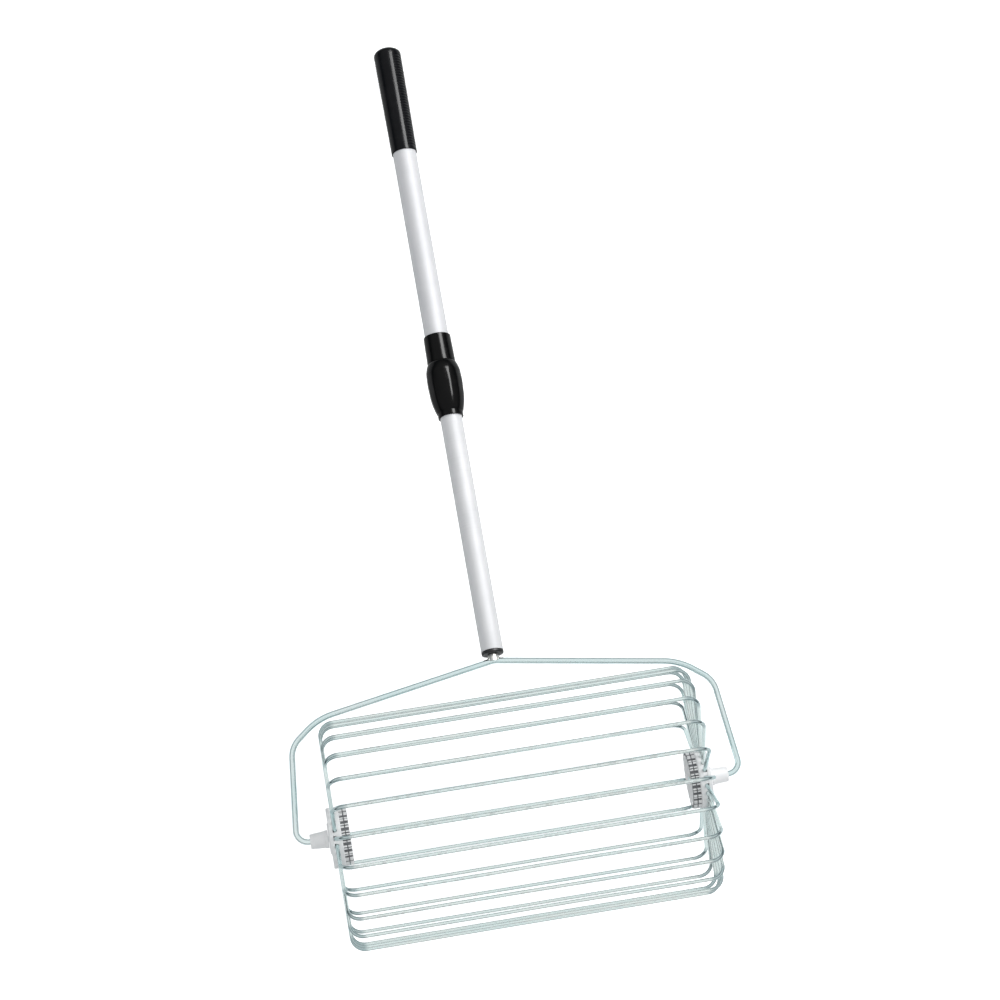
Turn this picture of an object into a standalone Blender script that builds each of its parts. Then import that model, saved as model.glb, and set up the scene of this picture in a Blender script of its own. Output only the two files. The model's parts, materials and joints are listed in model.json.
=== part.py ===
"""Tennis ball retriever: a roller cage of bent wires in a yoke, on a telescopic pole.

Metres, +Z up. The object lies on the floor: two of the cage's wires and the end of the grip touch
it. The cage turns about a line along X, and the pole runs from the middle of the cage towards +Y.
The origin is on the floor, under the middle of the object's box.
"""

import math

import bmesh
import bpy
from mathutils import Matrix, Vector

# Shared clearances
GAP = 0.0003
SLIDE_GAP = 0.0005

# Wires of the cage
WIRE_COUNT = 24
WIRE_RADIUS = 0.0025
CAGE_RADIUS = 0.150
CAGE_HALF_LENGTH = 0.245
WIRE_BEND_RADIUS = 0.018
WIRE_BEND_STEPS = 3
WIRE_BEVEL_RESOLUTION = 2

# Hubs
HUB_RADIUS = 0.040
HUB_HALF_THICKNESS = 0.008
HUB_EDGE_ROUND = 0.0012
LEG_INNER_END = 0.0250
DRUM_RADIUS = 0.0385
DRUM_DEPTH = 0.011
DRUM_WALL = 0.0045
DRUM_RIB_HEIGHT = 0.0040
DRUM_RIB_SHARE = 0.5
DRUM_RIB_DRAFT = 0.85
BOSS_RADIUS = 0.0105
BOSS_HEIGHT = 0.0060
COVER_RAISE_RADIUS = 0.0200
COVER_RAISE_HEIGHT = 0.0015
SCREW_COUNT = 3
SCREW_CIRCLE = 0.0165
SCREW_SHANK_RADIUS = 0.0016
SCREW_HEAD_RADIUS = 0.0032
SCREW_HEAD_HEIGHT = 0.0020
SCREW_HEAD_RIM = 0.0010
SCREW_HEAD_FACE_RADIUS = 0.0022
SCREW_TIP_COVER = 0.0015

# Yoke and its ends. Its corners are placed from the bushings' ends and from the circle of the wires
YOKE_ROD_RADIUS = 0.0041
YOKE_ROD_PASS = 0.0045
YOKE_FOOT_REACH = 0.0187
YOKE_KNEE_INSET = 0.0134
YOKE_KNEE_DROP = 0.0189
YOKE_SHOULDER_INSET = 0.0535
YOKE_SHOULDER_RISE = 0.0134
YOKE_APEX_RISE = 0.0548
YOKE_FOOT_BEND = 0.0160
YOKE_KNEE_BEND = 0.0360
YOKE_SHOULDER_BEND = 0.0800
YOKE_APEX_BEND = 0.0200
BUSHING_INNER_RADIUS = 0.0120
BUSHING_OUTER_RADIUS = 0.0098
BUSHING_LENGTH = 0.0240
BUSHING_COLLAR = 0.0040
BUSHING_CHAMFER = 0.0010
RETAINER_RADIUS = 0.0090
RETAINER_THICKNESS = 0.0030
RETAINER_RIM = 0.0012
RETAINER_NOSE_WALL = 0.0020

# Stem and plug
STEM_RADIUS = 0.0070
STEM_LENGTH = 0.0080
STEM_STUD_RADIUS = 0.0045
STEM_STUD_PASS = 0.0030
STEM_STUD_CHAMFER = 0.0008
STEM_NUT_ACROSS = 0.0150
STEM_NUT_HEIGHT = 0.0070
PLUG_FLANGE_RADIUS = 0.0150
PLUG_FLANGE_HEIGHT = 0.0042
PLUG_RIM_CHAMFER = 0.0006
PLUG_FOOT_CHAMFER = 0.0016
PLUG_SPIGOT_LENGTH = 0.0260
PLUG_SPIGOT_TAPER = 0.0010
PLUG_SPIGOT_LEAD = 0.0040

# Tubes
LOWER_TUBE_RADIUS = 0.0150
LOWER_TUBE_WALL = 0.0012
LOWER_TUBE_LENGTH = 0.5650
UPPER_TUBE_WALL = 0.0010
UPPER_TUBE_LENGTH = 0.4677
GLIDE_FLANGE_HEIGHT = 0.0060
GLIDE_LEAD_DEPTH = 0.0010
GLIDE_LEAD = 0.0020
GLIDE_SPIGOT_LENGTH = 0.0200
GLIDE_BORE_RADIUS = 0.0090

# Twist lock. The tube shown at rest is the lower tube's length below the lock
LOWER_TUBE_SHOWN = 0.3378
NUT_LENGTH = 0.0800
NUT_BAND_RADIUS = 0.0174
NUT_BAND_LENGTH = 0.0080
NUT_BELLY_RADIUS = 0.0245
NUT_NECK_RADIUS = 0.0198
NUT_BELLY_START = 0.0400
NUT_BELLY_END = 0.0620
NUT_FLUTES = 12
NUT_FLUTE_DEPTH = 0.0008
NUT_SWELL = 0.0005
NUT_LIP = 0.0012
NOSE_RADIUS = 0.0185
NOSE_LENGTH = 0.0260
COLLET_RADIUS = 0.0172
COLLET_TIP_RADIUS = 0.0162
COLLET_LENGTH = 0.0300
COLLET_TAPER_LENGTH = 0.0150
COLLET_SLITS = 4
COLLET_SLIT_WIDTH = 0.0016
COLLET_SLIT_LENGTH = 0.0215
SLEEVE_LENGTH = 0.0400
SLEEVE_LOW_RADIUS = 0.0194
SLEEVE_TOP_RADIUS = 0.0188
SLEEVE_EDGE = 0.0008
SLEEVE_FOOT_EDGE = 0.0004
SLEEVE_FOOT_LENGTH = 0.0010
SLEEVE_STOP_HEIGHT = 0.0060

# Grip
GRIP_LENGTH = 0.1647
GRIP_END_WALL = 0.0120
GRIP_OPEN_RADIUS = 0.0180
GRIP_END_RADIUS = 0.0193
GRIP_DOME = 0.0105
GRIP_RIM_LENGTH = 0.0040
GRIP_RIB_COUNT = 14
GRIP_RIB_DEPTH = 0.0006

# Facets
ROUND_STEPS = 24
SMALL_STEPS = 16
SCREW_STEPS = 8
HUB_STEPS = 48
GRIP_STEPS = 20
GRIP_DOME_STEPS = 5
NUT_TAPER_STEPS = 4
YOKE_BEND_STEPS = 4
YOKE_BEVEL_RESOLUTION = 3
SHARP_EDGE_ANGLE = 32.0
AXIS_DISPLAY_SIZE = 0.05


def wire_angles():
    """Angles of the wires round the cage's axis, with the floor between two of them."""
    pitch = math.tau / WIRE_COUNT
    return [pitch * (index + 0.5) for index in range(WIRE_COUNT)]


UPPER_TUBE_INNER = LOWER_TUBE_RADIUS + SLIDE_GAP
UPPER_TUBE_RADIUS = UPPER_TUBE_INNER + UPPER_TUBE_WALL
LOWER_TUBE_INNER = LOWER_TUBE_RADIUS - LOWER_TUBE_WALL
HUB_OUTER_FACE = CAGE_HALF_LENGTH + HUB_HALF_THICKNESS
HUB_INNER_FACE = CAGE_HALF_LENGTH - HUB_HALF_THICKNESS
HUB_SPLIT = WIRE_RADIUS + GAP
BORE_RADIUS = YOKE_ROD_RADIUS + GAP
BUSHING_START = HUB_OUTER_FACE + COVER_RAISE_HEIGHT + GAP
BUSHING_END = BUSHING_START + BUSHING_LENGTH
RETAINER_TOP = HUB_INNER_FACE - BOSS_HEIGHT - GAP

# Places across and along the pole, from the cage's axis
YOKE_FOOT_X = BUSHING_END + YOKE_FOOT_REACH
YOKE_KNEE = (YOKE_FOOT_X - YOKE_KNEE_INSET, CAGE_RADIUS - YOKE_KNEE_DROP)
YOKE_SHOULDER = (YOKE_FOOT_X - YOKE_SHOULDER_INSET, CAGE_RADIUS + YOKE_SHOULDER_RISE)
YOKE_APEX = CAGE_RADIUS + YOKE_APEX_RISE
STEM_SHOULDER_END = YOKE_APEX + STEM_LENGTH
PLUG_START = STEM_SHOULDER_END + GAP
LOWER_TUBE_START = PLUG_START + PLUG_FLANGE_HEIGHT + GAP
LOWER_TUBE_END = LOWER_TUBE_START + LOWER_TUBE_LENGTH
LOCK_START = LOWER_TUBE_START + LOWER_TUBE_SHOWN
SLEEVE_START = LOCK_START + NUT_LENGTH + GAP
SLEEVE_END = SLEEVE_START + SLEEVE_LENGTH
UPPER_TUBE_START = SLEEVE_START + SLEEVE_STOP_HEIGHT + GAP
UPPER_TUBE_END = UPPER_TUBE_START + UPPER_TUBE_LENGTH
GRIP_END = UPPER_TUBE_END + GAP + GRIP_END_WALL
GRIP_START = GRIP_END - GRIP_LENGTH
GRIP_CONTACT = GRIP_END - GRIP_DOME

CAGE_HEIGHT = (CAGE_RADIUS + WIRE_RADIUS) * math.cos(math.pi / WIRE_COUNT)
POLE_SLOPE = math.asin(CAGE_HEIGHT / math.hypot(GRIP_CONTACT, GRIP_END_RADIUS)) - math.atan2(
    GRIP_END_RADIUS, GRIP_CONTACT
)
CAGE_REACH = CAGE_RADIUS * math.cos(math.pi / WIRE_COUNT) + WIRE_RADIUS
CAGE_Y = 0.5 * (CAGE_REACH - GRIP_END * math.cos(POLE_SLOPE))


def clear_scene():
    """Empties the scene before the model is built."""
    for item in list(bpy.data.objects):
        bpy.data.objects.remove(item, do_unlink=True)


def make_material(name, color, roughness, metallic):
    """A plain Principled material with the part's colour and finish."""
    material = bpy.data.materials.new(name)
    material.use_nodes = True
    shader = material.node_tree.nodes["Principled BSDF"]
    shader.inputs["Base Color"].default_value = (*color, 1.0)
    shader.inputs["Roughness"].default_value = roughness
    shader.inputs["Metallic"].default_value = metallic
    material.diffuse_color = (*color, 1.0)
    return material


def add_object(name, data, material, parent):
    """Links an object with its material under an empty."""
    item = bpy.data.objects.new(name, data)
    bpy.context.scene.collection.objects.link(item)
    data.materials.append(material)
    item.parent = parent
    return item


def add_empty(name, location, rotation=(0.0, 0.0, 0.0)):
    """An axis that pieces are placed on."""
    item = bpy.data.objects.new(name, None)
    item.empty_display_size = AXIS_DISPLAY_SIZE
    item.location = location
    item.rotation_euler = rotation
    bpy.context.scene.collection.objects.link(item)
    return item


def shade(mesh):
    """Smooth shading with sharp edges kept."""
    mesh.shade_smooth()
    mesh.set_sharp_from_angle(angle=math.radians(SHARP_EDGE_ANGLE))


def mesh_from(bm, name):
    """Finishes a bmesh as a mesh with its faces pointing out."""
    bmesh.ops.recalc_face_normals(bm, faces=bm.faces)
    mesh = bpy.data.meshes.new(name)
    bm.to_mesh(mesh)
    bm.free()
    shade(mesh)
    return mesh


def turn_profile(name, profile, steps=ROUND_STEPS):
    """Spins a closed outline of (radius, height) points about Z into a ring or a solid."""
    bm = bmesh.new()
    points = [bm.verts.new((radius, 0.0, height)) for radius, height in profile]
    pairs = zip(points, points[1:] + points[:1])
    edges = [bm.edges.new(pair) for pair in pairs if pair[0].co.x + pair[1].co.x > 0.0]
    bmesh.ops.spin(
        bm,
        geom=points + edges,
        cent=(0.0, 0.0, 0.0),
        axis=(0.0, 0.0, 1.0),
        angle=math.tau,
        steps=steps,
        use_merge=True,
    )
    on_axis = [vert for vert in bm.verts if math.hypot(vert.co.x, vert.co.y) < 1e-6]
    bmesh.ops.remove_doubles(bm, verts=on_axis, dist=1e-6)
    bmesh.ops.dissolve_degenerate(bm, edges=bm.edges, dist=1e-7)
    return mesh_from(bm, name)


def rounded_path(corners, radii, steps):
    """Points of a bent rod: straight runs between corners that are rounded with arcs.

    The corners lie in one plane and are (x, z) pairs. radii has one value for each inner corner.
    """
    points = [Vector((corners[0][0], 0.0, corners[0][1]))]
    for index, radius in enumerate(radii, start=1):
        before, corner, after = (Vector((x, 0.0, z)) for x, z in corners[index - 1 : index + 2])
        arriving = (corner - before).normalized()
        leaving = (after - corner).normalized()
        turn = arriving.angle(leaving)
        reach = radius * math.tan(turn / 2)
        start = corner - arriving * reach
        side = (leaving - arriving * leaving.dot(arriving)).normalized()
        for step in range(steps + 1):
            angle = turn * step / steps
            along = arriving * radius * math.sin(angle)
            points.append(start + along + side * radius * (1 - math.cos(angle)))
    points.append(Vector((corners[-1][0], 0.0, corners[-1][1])))
    return points


def rod_curve(name, points, radius, bevel_resolution):
    """A round rod along the points, with closed ends."""
    curve = bpy.data.curves.new(name, "CURVE")
    curve.dimensions = "3D"
    curve.bevel_depth = radius
    curve.bevel_resolution = bevel_resolution
    curve.use_fill_caps = True
    spline = curve.splines.new("POLY")
    spline.points.add(len(points) - 1)
    for target, point in zip(spline.points, points):
        target.co = (*point, 1.0)
    spline.use_smooth = True
    return curve


def cylinder(bm, radius, bottom, top, steps, matrix=None):
    """Adds a closed cylinder that runs along Z, or along Z of the matrix."""
    place = Matrix.Translation((0.0, 0.0, 0.5 * (bottom + top)))
    if matrix is not None:
        place = matrix @ place
    return bmesh.ops.create_cone(
        bm,
        cap_ends=True,
        cap_tris=False,
        segments=steps,
        radius1=radius,
        radius2=radius,
        depth=top - bottom,
        matrix=place,
    )["verts"]


def helper(item, mesh, name):
    """A hidden object for a Boolean, in the frame of the object that it works on."""
    other = bpy.data.objects.new(name, mesh)
    bpy.context.scene.collection.objects.link(other)
    other.parent = item.parent
    other.location = item.location
    other.rotation_euler = item.rotation_euler
    other.hide_render = True
    other.display_type = "WIRE"
    return other


def cut(item, mesh, name):
    """Cuts a helper mesh out of an object with an exact Boolean."""
    boolean = item.modifiers.new(name, "BOOLEAN")
    boolean.operation = "DIFFERENCE"
    boolean.solver = "EXACT"
    boolean.object = helper(item, mesh, name)


def build_wires(cage, steel):
    """The U-shaped wires: a rod along the cage, a rounded bend and a radial leg at each end."""
    corners = [
        (-CAGE_HALF_LENGTH, LEG_INNER_END),
        (-CAGE_HALF_LENGTH, CAGE_RADIUS),
        (CAGE_HALF_LENGTH, CAGE_RADIUS),
        (CAGE_HALF_LENGTH, LEG_INNER_END),
    ]
    path = rounded_path(corners, [WIRE_BEND_RADIUS, WIRE_BEND_RADIUS], WIRE_BEND_STEPS)
    curve = rod_curve("cage_wire", path, WIRE_RADIUS, WIRE_BEVEL_RESOLUTION)
    curve.materials.append(steel)
    for index, angle in enumerate(wire_angles(), start=1):
        wire = bpy.data.objects.new(f"wire_{index:02d}", curve)
        bpy.context.scene.collection.objects.link(wire)
        wire.parent = cage
        wire.rotation_euler = (angle, 0.0, 0.0)


def leg_cutters():
    """Radial bars, a little thicker than the wires, that leave the legs' channels in the hub's body."""
    start = LEG_INNER_END - GAP
    length = HUB_RADIUS + WIRE_RADIUS - start
    bottom = -(WIRE_RADIUS + GAP)
    top = HUB_SPLIT + GAP
    bm = bmesh.new()
    for angle in wire_angles():
        middle = Matrix.Translation((start + 0.5 * length, 0.0, 0.5 * (bottom + top)))
        bar = Matrix.Diagonal((length, 2 * (WIRE_RADIUS + GAP), top - bottom, 1.0))
        bmesh.ops.create_cube(bm, size=1.0, matrix=Matrix.Rotation(angle, 4, "Z") @ middle @ bar)
    return mesh_from(bm, "leg_cutters")


def screw_places():
    """Positions of the hub's screws, between the bore and the legs' ends."""
    for index in range(SCREW_COUNT):
        angle = math.tau * (index + 0.5) / SCREW_COUNT
        yield SCREW_CIRCLE * math.cos(angle), SCREW_CIRCLE * math.sin(angle)


def screw_cutters(bottom, top):
    """Holes for the screws' shanks."""
    bm = bmesh.new()
    for x, y in screw_places():
        hole = (SCREW_SHANK_RADIUS + GAP) / math.cos(math.pi / SCREW_STEPS)
        cylinder(bm, hole, bottom, top, SCREW_STEPS, Matrix.Translation((x, y, 0.0)))
    return mesh_from(bm, "screw_cutters")


def ribbed_drum(bottom, top):
    """The drum's wall with its ribs, an extruded outline like a coarse spline."""
    pitch = math.tau / WIRE_COUNT
    half = 0.5 * pitch * DRUM_RIB_SHARE
    root = DRUM_RADIUS - DRUM_RIB_HEIGHT
    inner = root - DRUM_WALL
    outline = (
        (root, -half),
        (DRUM_RADIUS, -half * DRUM_RIB_DRAFT),
        (DRUM_RADIUS, half * DRUM_RIB_DRAFT),
        (root, half),
    )
    bm = bmesh.new()

    def corner(radius, angle):
        return bm.verts.new((radius * math.cos(angle), radius * math.sin(angle), bottom))

    middles = [pitch * index for index in range(WIRE_COUNT)]
    ribs = [[corner(radius, middle + offset) for radius, offset in outline] for middle in middles]
    bores = [[corner(inner, middle + offset) for offset in (-half, half)] for middle in middles]
    faces = []
    for index in range(WIRE_COUNT):
        a, b, c, d = ribs[index]
        e, f = bores[index]
        following = (index + 1) % WIRE_COUNT
        faces.append(bm.faces.new((a, b, c, d, f, e)))
        faces.append(bm.faces.new((d, ribs[following][0], bores[following][0], f)))
    swept = bmesh.ops.extrude_face_region(bm, geom=faces)
    moved = [item for item in swept["geom"] if isinstance(item, bmesh.types.BMVert)]
    bmesh.ops.translate(bm, vec=(0.0, 0.0, top - bottom), verts=moved)
    return mesh_from(bm, "drum")


def join(item, mesh, name):
    """Unites a helper mesh with an object, in the object's own frame."""
    boolean = item.modifiers.new(name, "BOOLEAN")
    boolean.operation = "UNION"
    boolean.solver = "EXACT"
    boolean.object = helper(item, mesh, name)


def build_hub(side, name, cage, plastic, steel):
    """One hub: a body with the legs' channels and the drum, a flat cover, and the screws through both.

    The hub is modelled along +Z, which becomes the outward direction. Height zero is the plane of
    the legs.
    """
    turn = (0.0, side * math.pi / 2, 0.0)
    place = (side * CAGE_HALF_LENGTH, 0.0, 0.0)
    low = -HUB_HALF_THICKNESS
    high = HUB_HALF_THICKNESS
    profile = [
        (BORE_RADIUS, HUB_SPLIT),
        (HUB_RADIUS, HUB_SPLIT),
        (HUB_RADIUS, low + HUB_EDGE_ROUND),
        (HUB_RADIUS - HUB_EDGE_ROUND, low),
        (BOSS_RADIUS, low),
        (BOSS_RADIUS, low - BOSS_HEIGHT),
        (BORE_RADIUS, low - BOSS_HEIGHT),
    ]
    mesh = turn_profile("hub_body", profile, HUB_STEPS)
    body = add_object(f"hub_body_{name}", mesh, plastic, cage)
    body.location = place
    body.rotation_euler = turn
    join(body, ribbed_drum(low - DRUM_DEPTH, low + GAP), f"drum_{name}")
    cut(body, leg_cutters(), f"leg_channels_{name}")
    cut(body, screw_cutters(low - GAP, HUB_SPLIT + GAP), f"body_screw_holes_{name}")

    profile = [
        (BORE_RADIUS, high + COVER_RAISE_HEIGHT),
        (COVER_RAISE_RADIUS, high + COVER_RAISE_HEIGHT),
        (COVER_RAISE_RADIUS + HUB_EDGE_ROUND, high),
        (HUB_RADIUS - HUB_EDGE_ROUND, high),
        (HUB_RADIUS, high - HUB_EDGE_ROUND),
        (HUB_RADIUS, HUB_SPLIT + GAP),
        (BORE_RADIUS, HUB_SPLIT + GAP),
    ]
    mesh = turn_profile("hub_cover", profile, HUB_STEPS)
    cover = add_object(f"hub_cover_{name}", mesh, plastic, cage)
    cover.location = place
    cover.rotation_euler = turn
    cut(cover, screw_cutters(HUB_SPLIT, high - SCREW_TIP_COVER), f"cover_screw_holes_{name}")

    head_face = low - GAP
    profile = [
        (0.0, high - SCREW_TIP_COVER - GAP),
        (SCREW_SHANK_RADIUS, high - SCREW_TIP_COVER - SCREW_SHANK_RADIUS),
        (SCREW_SHANK_RADIUS, head_face),
        (SCREW_HEAD_RADIUS, head_face),
        (SCREW_HEAD_RADIUS, head_face - SCREW_HEAD_RIM),
        (SCREW_HEAD_FACE_RADIUS, head_face - SCREW_HEAD_HEIGHT),
        (0.0, head_face - SCREW_HEAD_HEIGHT),
    ]
    mesh = turn_profile("hub_screw", profile, SCREW_STEPS)
    mesh.materials.append(steel)
    for index, (x, y) in enumerate(screw_places(), start=1):
        screw = bpy.data.objects.new(f"hub_screw_{name}_{index}", mesh)
        bpy.context.scene.collection.objects.link(screw)
        screw.parent = cage
        across = Matrix.Rotation(side * math.pi / 2, 3, "Y") @ Vector((x, y, 0.0))
        screw.location = Vector(place) + across
        screw.rotation_euler = turn


def build_axle_end(side, name, pole_frame, plastic, steel):
    """The tapered bushing outside the hub and the retainer inside it, both held by the yoke's end."""
    turn = (0.0, side * math.pi / 2, 0.0)
    profile = [
        (BORE_RADIUS, BUSHING_END),
        (BUSHING_OUTER_RADIUS - BUSHING_CHAMFER, BUSHING_END),
        (BUSHING_OUTER_RADIUS, BUSHING_END - BUSHING_CHAMFER),
        (BUSHING_INNER_RADIUS, BUSHING_START + BUSHING_COLLAR),
        (BUSHING_INNER_RADIUS, BUSHING_START),
        (BORE_RADIUS, BUSHING_START),
    ]
    mesh = turn_profile("axle_bushing", profile, SMALL_STEPS)
    bushing = add_object(f"axle_bushing_{name}", mesh, plastic, pole_frame)
    bushing.rotation_euler = turn
    bottom = RETAINER_TOP - RETAINER_THICKNESS
    profile = [
        (BORE_RADIUS, RETAINER_TOP),
        (RETAINER_RADIUS, RETAINER_TOP),
        (RETAINER_RADIUS, RETAINER_TOP - RETAINER_RIM),
        (BORE_RADIUS + RETAINER_NOSE_WALL, bottom),
        (BORE_RADIUS, bottom),
    ]
    mesh = turn_profile("axle_retainer", profile, SMALL_STEPS)
    retainer = add_object(f"axle_retainer_{name}", mesh, steel, pole_frame)
    retainer.rotation_euler = turn


def yoke_corners():
    """Corners of the yoke's rod in the pole's plane, from one inner end to the other."""
    half = [(RETAINER_TOP - YOKE_ROD_PASS, 0.0), (YOKE_FOOT_X, 0.0), YOKE_KNEE, YOKE_SHOULDER]
    left = [(-x, z) for x, z in half]
    return left + [(0.0, YOKE_APEX)] + half[::-1]


def build_yoke(pole_frame, steel, bright):
    """The bent rod and the stem welded on its apex, with the nut on the stem's stud."""
    bends = [YOKE_FOOT_BEND, YOKE_KNEE_BEND, YOKE_SHOULDER_BEND]
    path = rounded_path(yoke_corners(), bends + [YOKE_APEX_BEND] + bends[::-1], YOKE_BEND_STEPS)
    curve = rod_curve("yoke", path, YOKE_ROD_RADIUS, YOKE_BEVEL_RESOLUTION)
    curve.materials.append(bright)
    yoke = bpy.data.objects.new("yoke", curve)
    bpy.context.scene.collection.objects.link(yoke)
    yoke.parent = pole_frame

    plug_end = PLUG_START + PLUG_FLANGE_HEIGHT + PLUG_SPIGOT_LENGTH
    nut_top = plug_end + GAP + STEM_NUT_HEIGHT
    profile = [
        (0.0, nut_top + STEM_STUD_PASS),
        (STEM_STUD_RADIUS - STEM_STUD_CHAMFER, nut_top + STEM_STUD_PASS),
        (STEM_STUD_RADIUS, nut_top + STEM_STUD_PASS - STEM_STUD_CHAMFER),
        (STEM_STUD_RADIUS, STEM_SHOULDER_END),
        (STEM_RADIUS, STEM_SHOULDER_END),
        (STEM_RADIUS, YOKE_APEX),
        (0.0, YOKE_APEX),
    ]
    stem = add_object("yoke_stem", turn_profile("yoke_stem", profile, SMALL_STEPS), steel, pole_frame)
    thick = rod_curve("saddle", path, YOKE_ROD_RADIUS + GAP, YOKE_BEVEL_RESOLUTION)
    carrier = bpy.data.objects.new("saddle", thick)
    bpy.context.scene.collection.objects.link(carrier)
    saddle = bpy.data.meshes.new_from_object(carrier)
    bpy.data.objects.remove(carrier, do_unlink=True)
    cut(stem, saddle, "stem_saddle")

    bm = bmesh.new()
    cylinder(bm, STEM_NUT_ACROSS / math.sqrt(3.0), plug_end + GAP, nut_top, 6)
    nut = add_object("stem_nut", mesh_from(bm, "stem_nut"), steel, pole_frame)
    bore = bmesh.new()
    cylinder(bore, STEM_STUD_RADIUS + GAP, plug_end - GAP, nut_top + GAP, SMALL_STEPS)
    cut(nut, mesh_from(bore, "stem_nut_bore"), "stem_nut_bore")


def build_plug(pole_frame, black):
    """The flanged plug in the lower tube's end, with the stem's stud through it."""
    flange_top = PLUG_START + PLUG_FLANGE_HEIGHT
    top = flange_top + PLUG_SPIGOT_LENGTH
    spigot = LOWER_TUBE_INNER - GAP
    profile = [
        (STEM_STUD_RADIUS + GAP, top),
        (spigot - PLUG_SPIGOT_TAPER, top),
        (spigot, top - PLUG_SPIGOT_LEAD),
        (spigot, flange_top),
        (PLUG_FLANGE_RADIUS - PLUG_RIM_CHAMFER, flange_top),
        (PLUG_FLANGE_RADIUS, flange_top - PLUG_RIM_CHAMFER),
        (PLUG_FLANGE_RADIUS, PLUG_START + PLUG_FOOT_CHAMFER),
        (PLUG_FLANGE_RADIUS - PLUG_FOOT_CHAMFER, PLUG_START),
        (STEM_STUD_RADIUS + GAP, PLUG_START),
    ]
    add_object("tube_plug", turn_profile("tube_plug", profile), black, pole_frame)


def tube_profile(outer, inner, bottom, top):
    """Closed outline of a plain tube."""
    return [(inner, top), (outer, top), (outer, bottom), (inner, bottom)]


def build_lower_tube(pole_frame, aluminium, black):
    """The telescope's inner tube and the glide plug on its hidden end."""
    profile = tube_profile(LOWER_TUBE_RADIUS, LOWER_TUBE_INNER, LOWER_TUBE_START, LOWER_TUBE_END)
    add_object("lower_tube", turn_profile("lower_tube", profile), aluminium, pole_frame)
    bottom = LOWER_TUBE_END + GAP
    top = bottom + GLIDE_FLANGE_HEIGHT
    flange = UPPER_TUBE_INNER - GAP
    profile = [
        (GLIDE_BORE_RADIUS, top),
        (flange - GLIDE_LEAD_DEPTH, top),
        (flange, top - GLIDE_LEAD),
        (flange, bottom),
        (LOWER_TUBE_INNER - GAP, bottom),
        (LOWER_TUBE_INNER - GAP, bottom - GLIDE_SPIGOT_LENGTH),
        (GLIDE_BORE_RADIUS, bottom - GLIDE_SPIGOT_LENGTH),
    ]
    add_object("glide_plug", turn_profile("glide_plug", profile), black, pole_frame)


def build_upper_tube(handle, aluminium):
    """The telescope's outer tube, from the sleeve's stop to inside the grip."""
    profile = tube_profile(UPPER_TUBE_RADIUS, UPPER_TUBE_INNER, UPPER_TUBE_START, UPPER_TUBE_END)
    add_object("upper_tube", turn_profile("upper_tube", profile), aluminium, handle)


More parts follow.
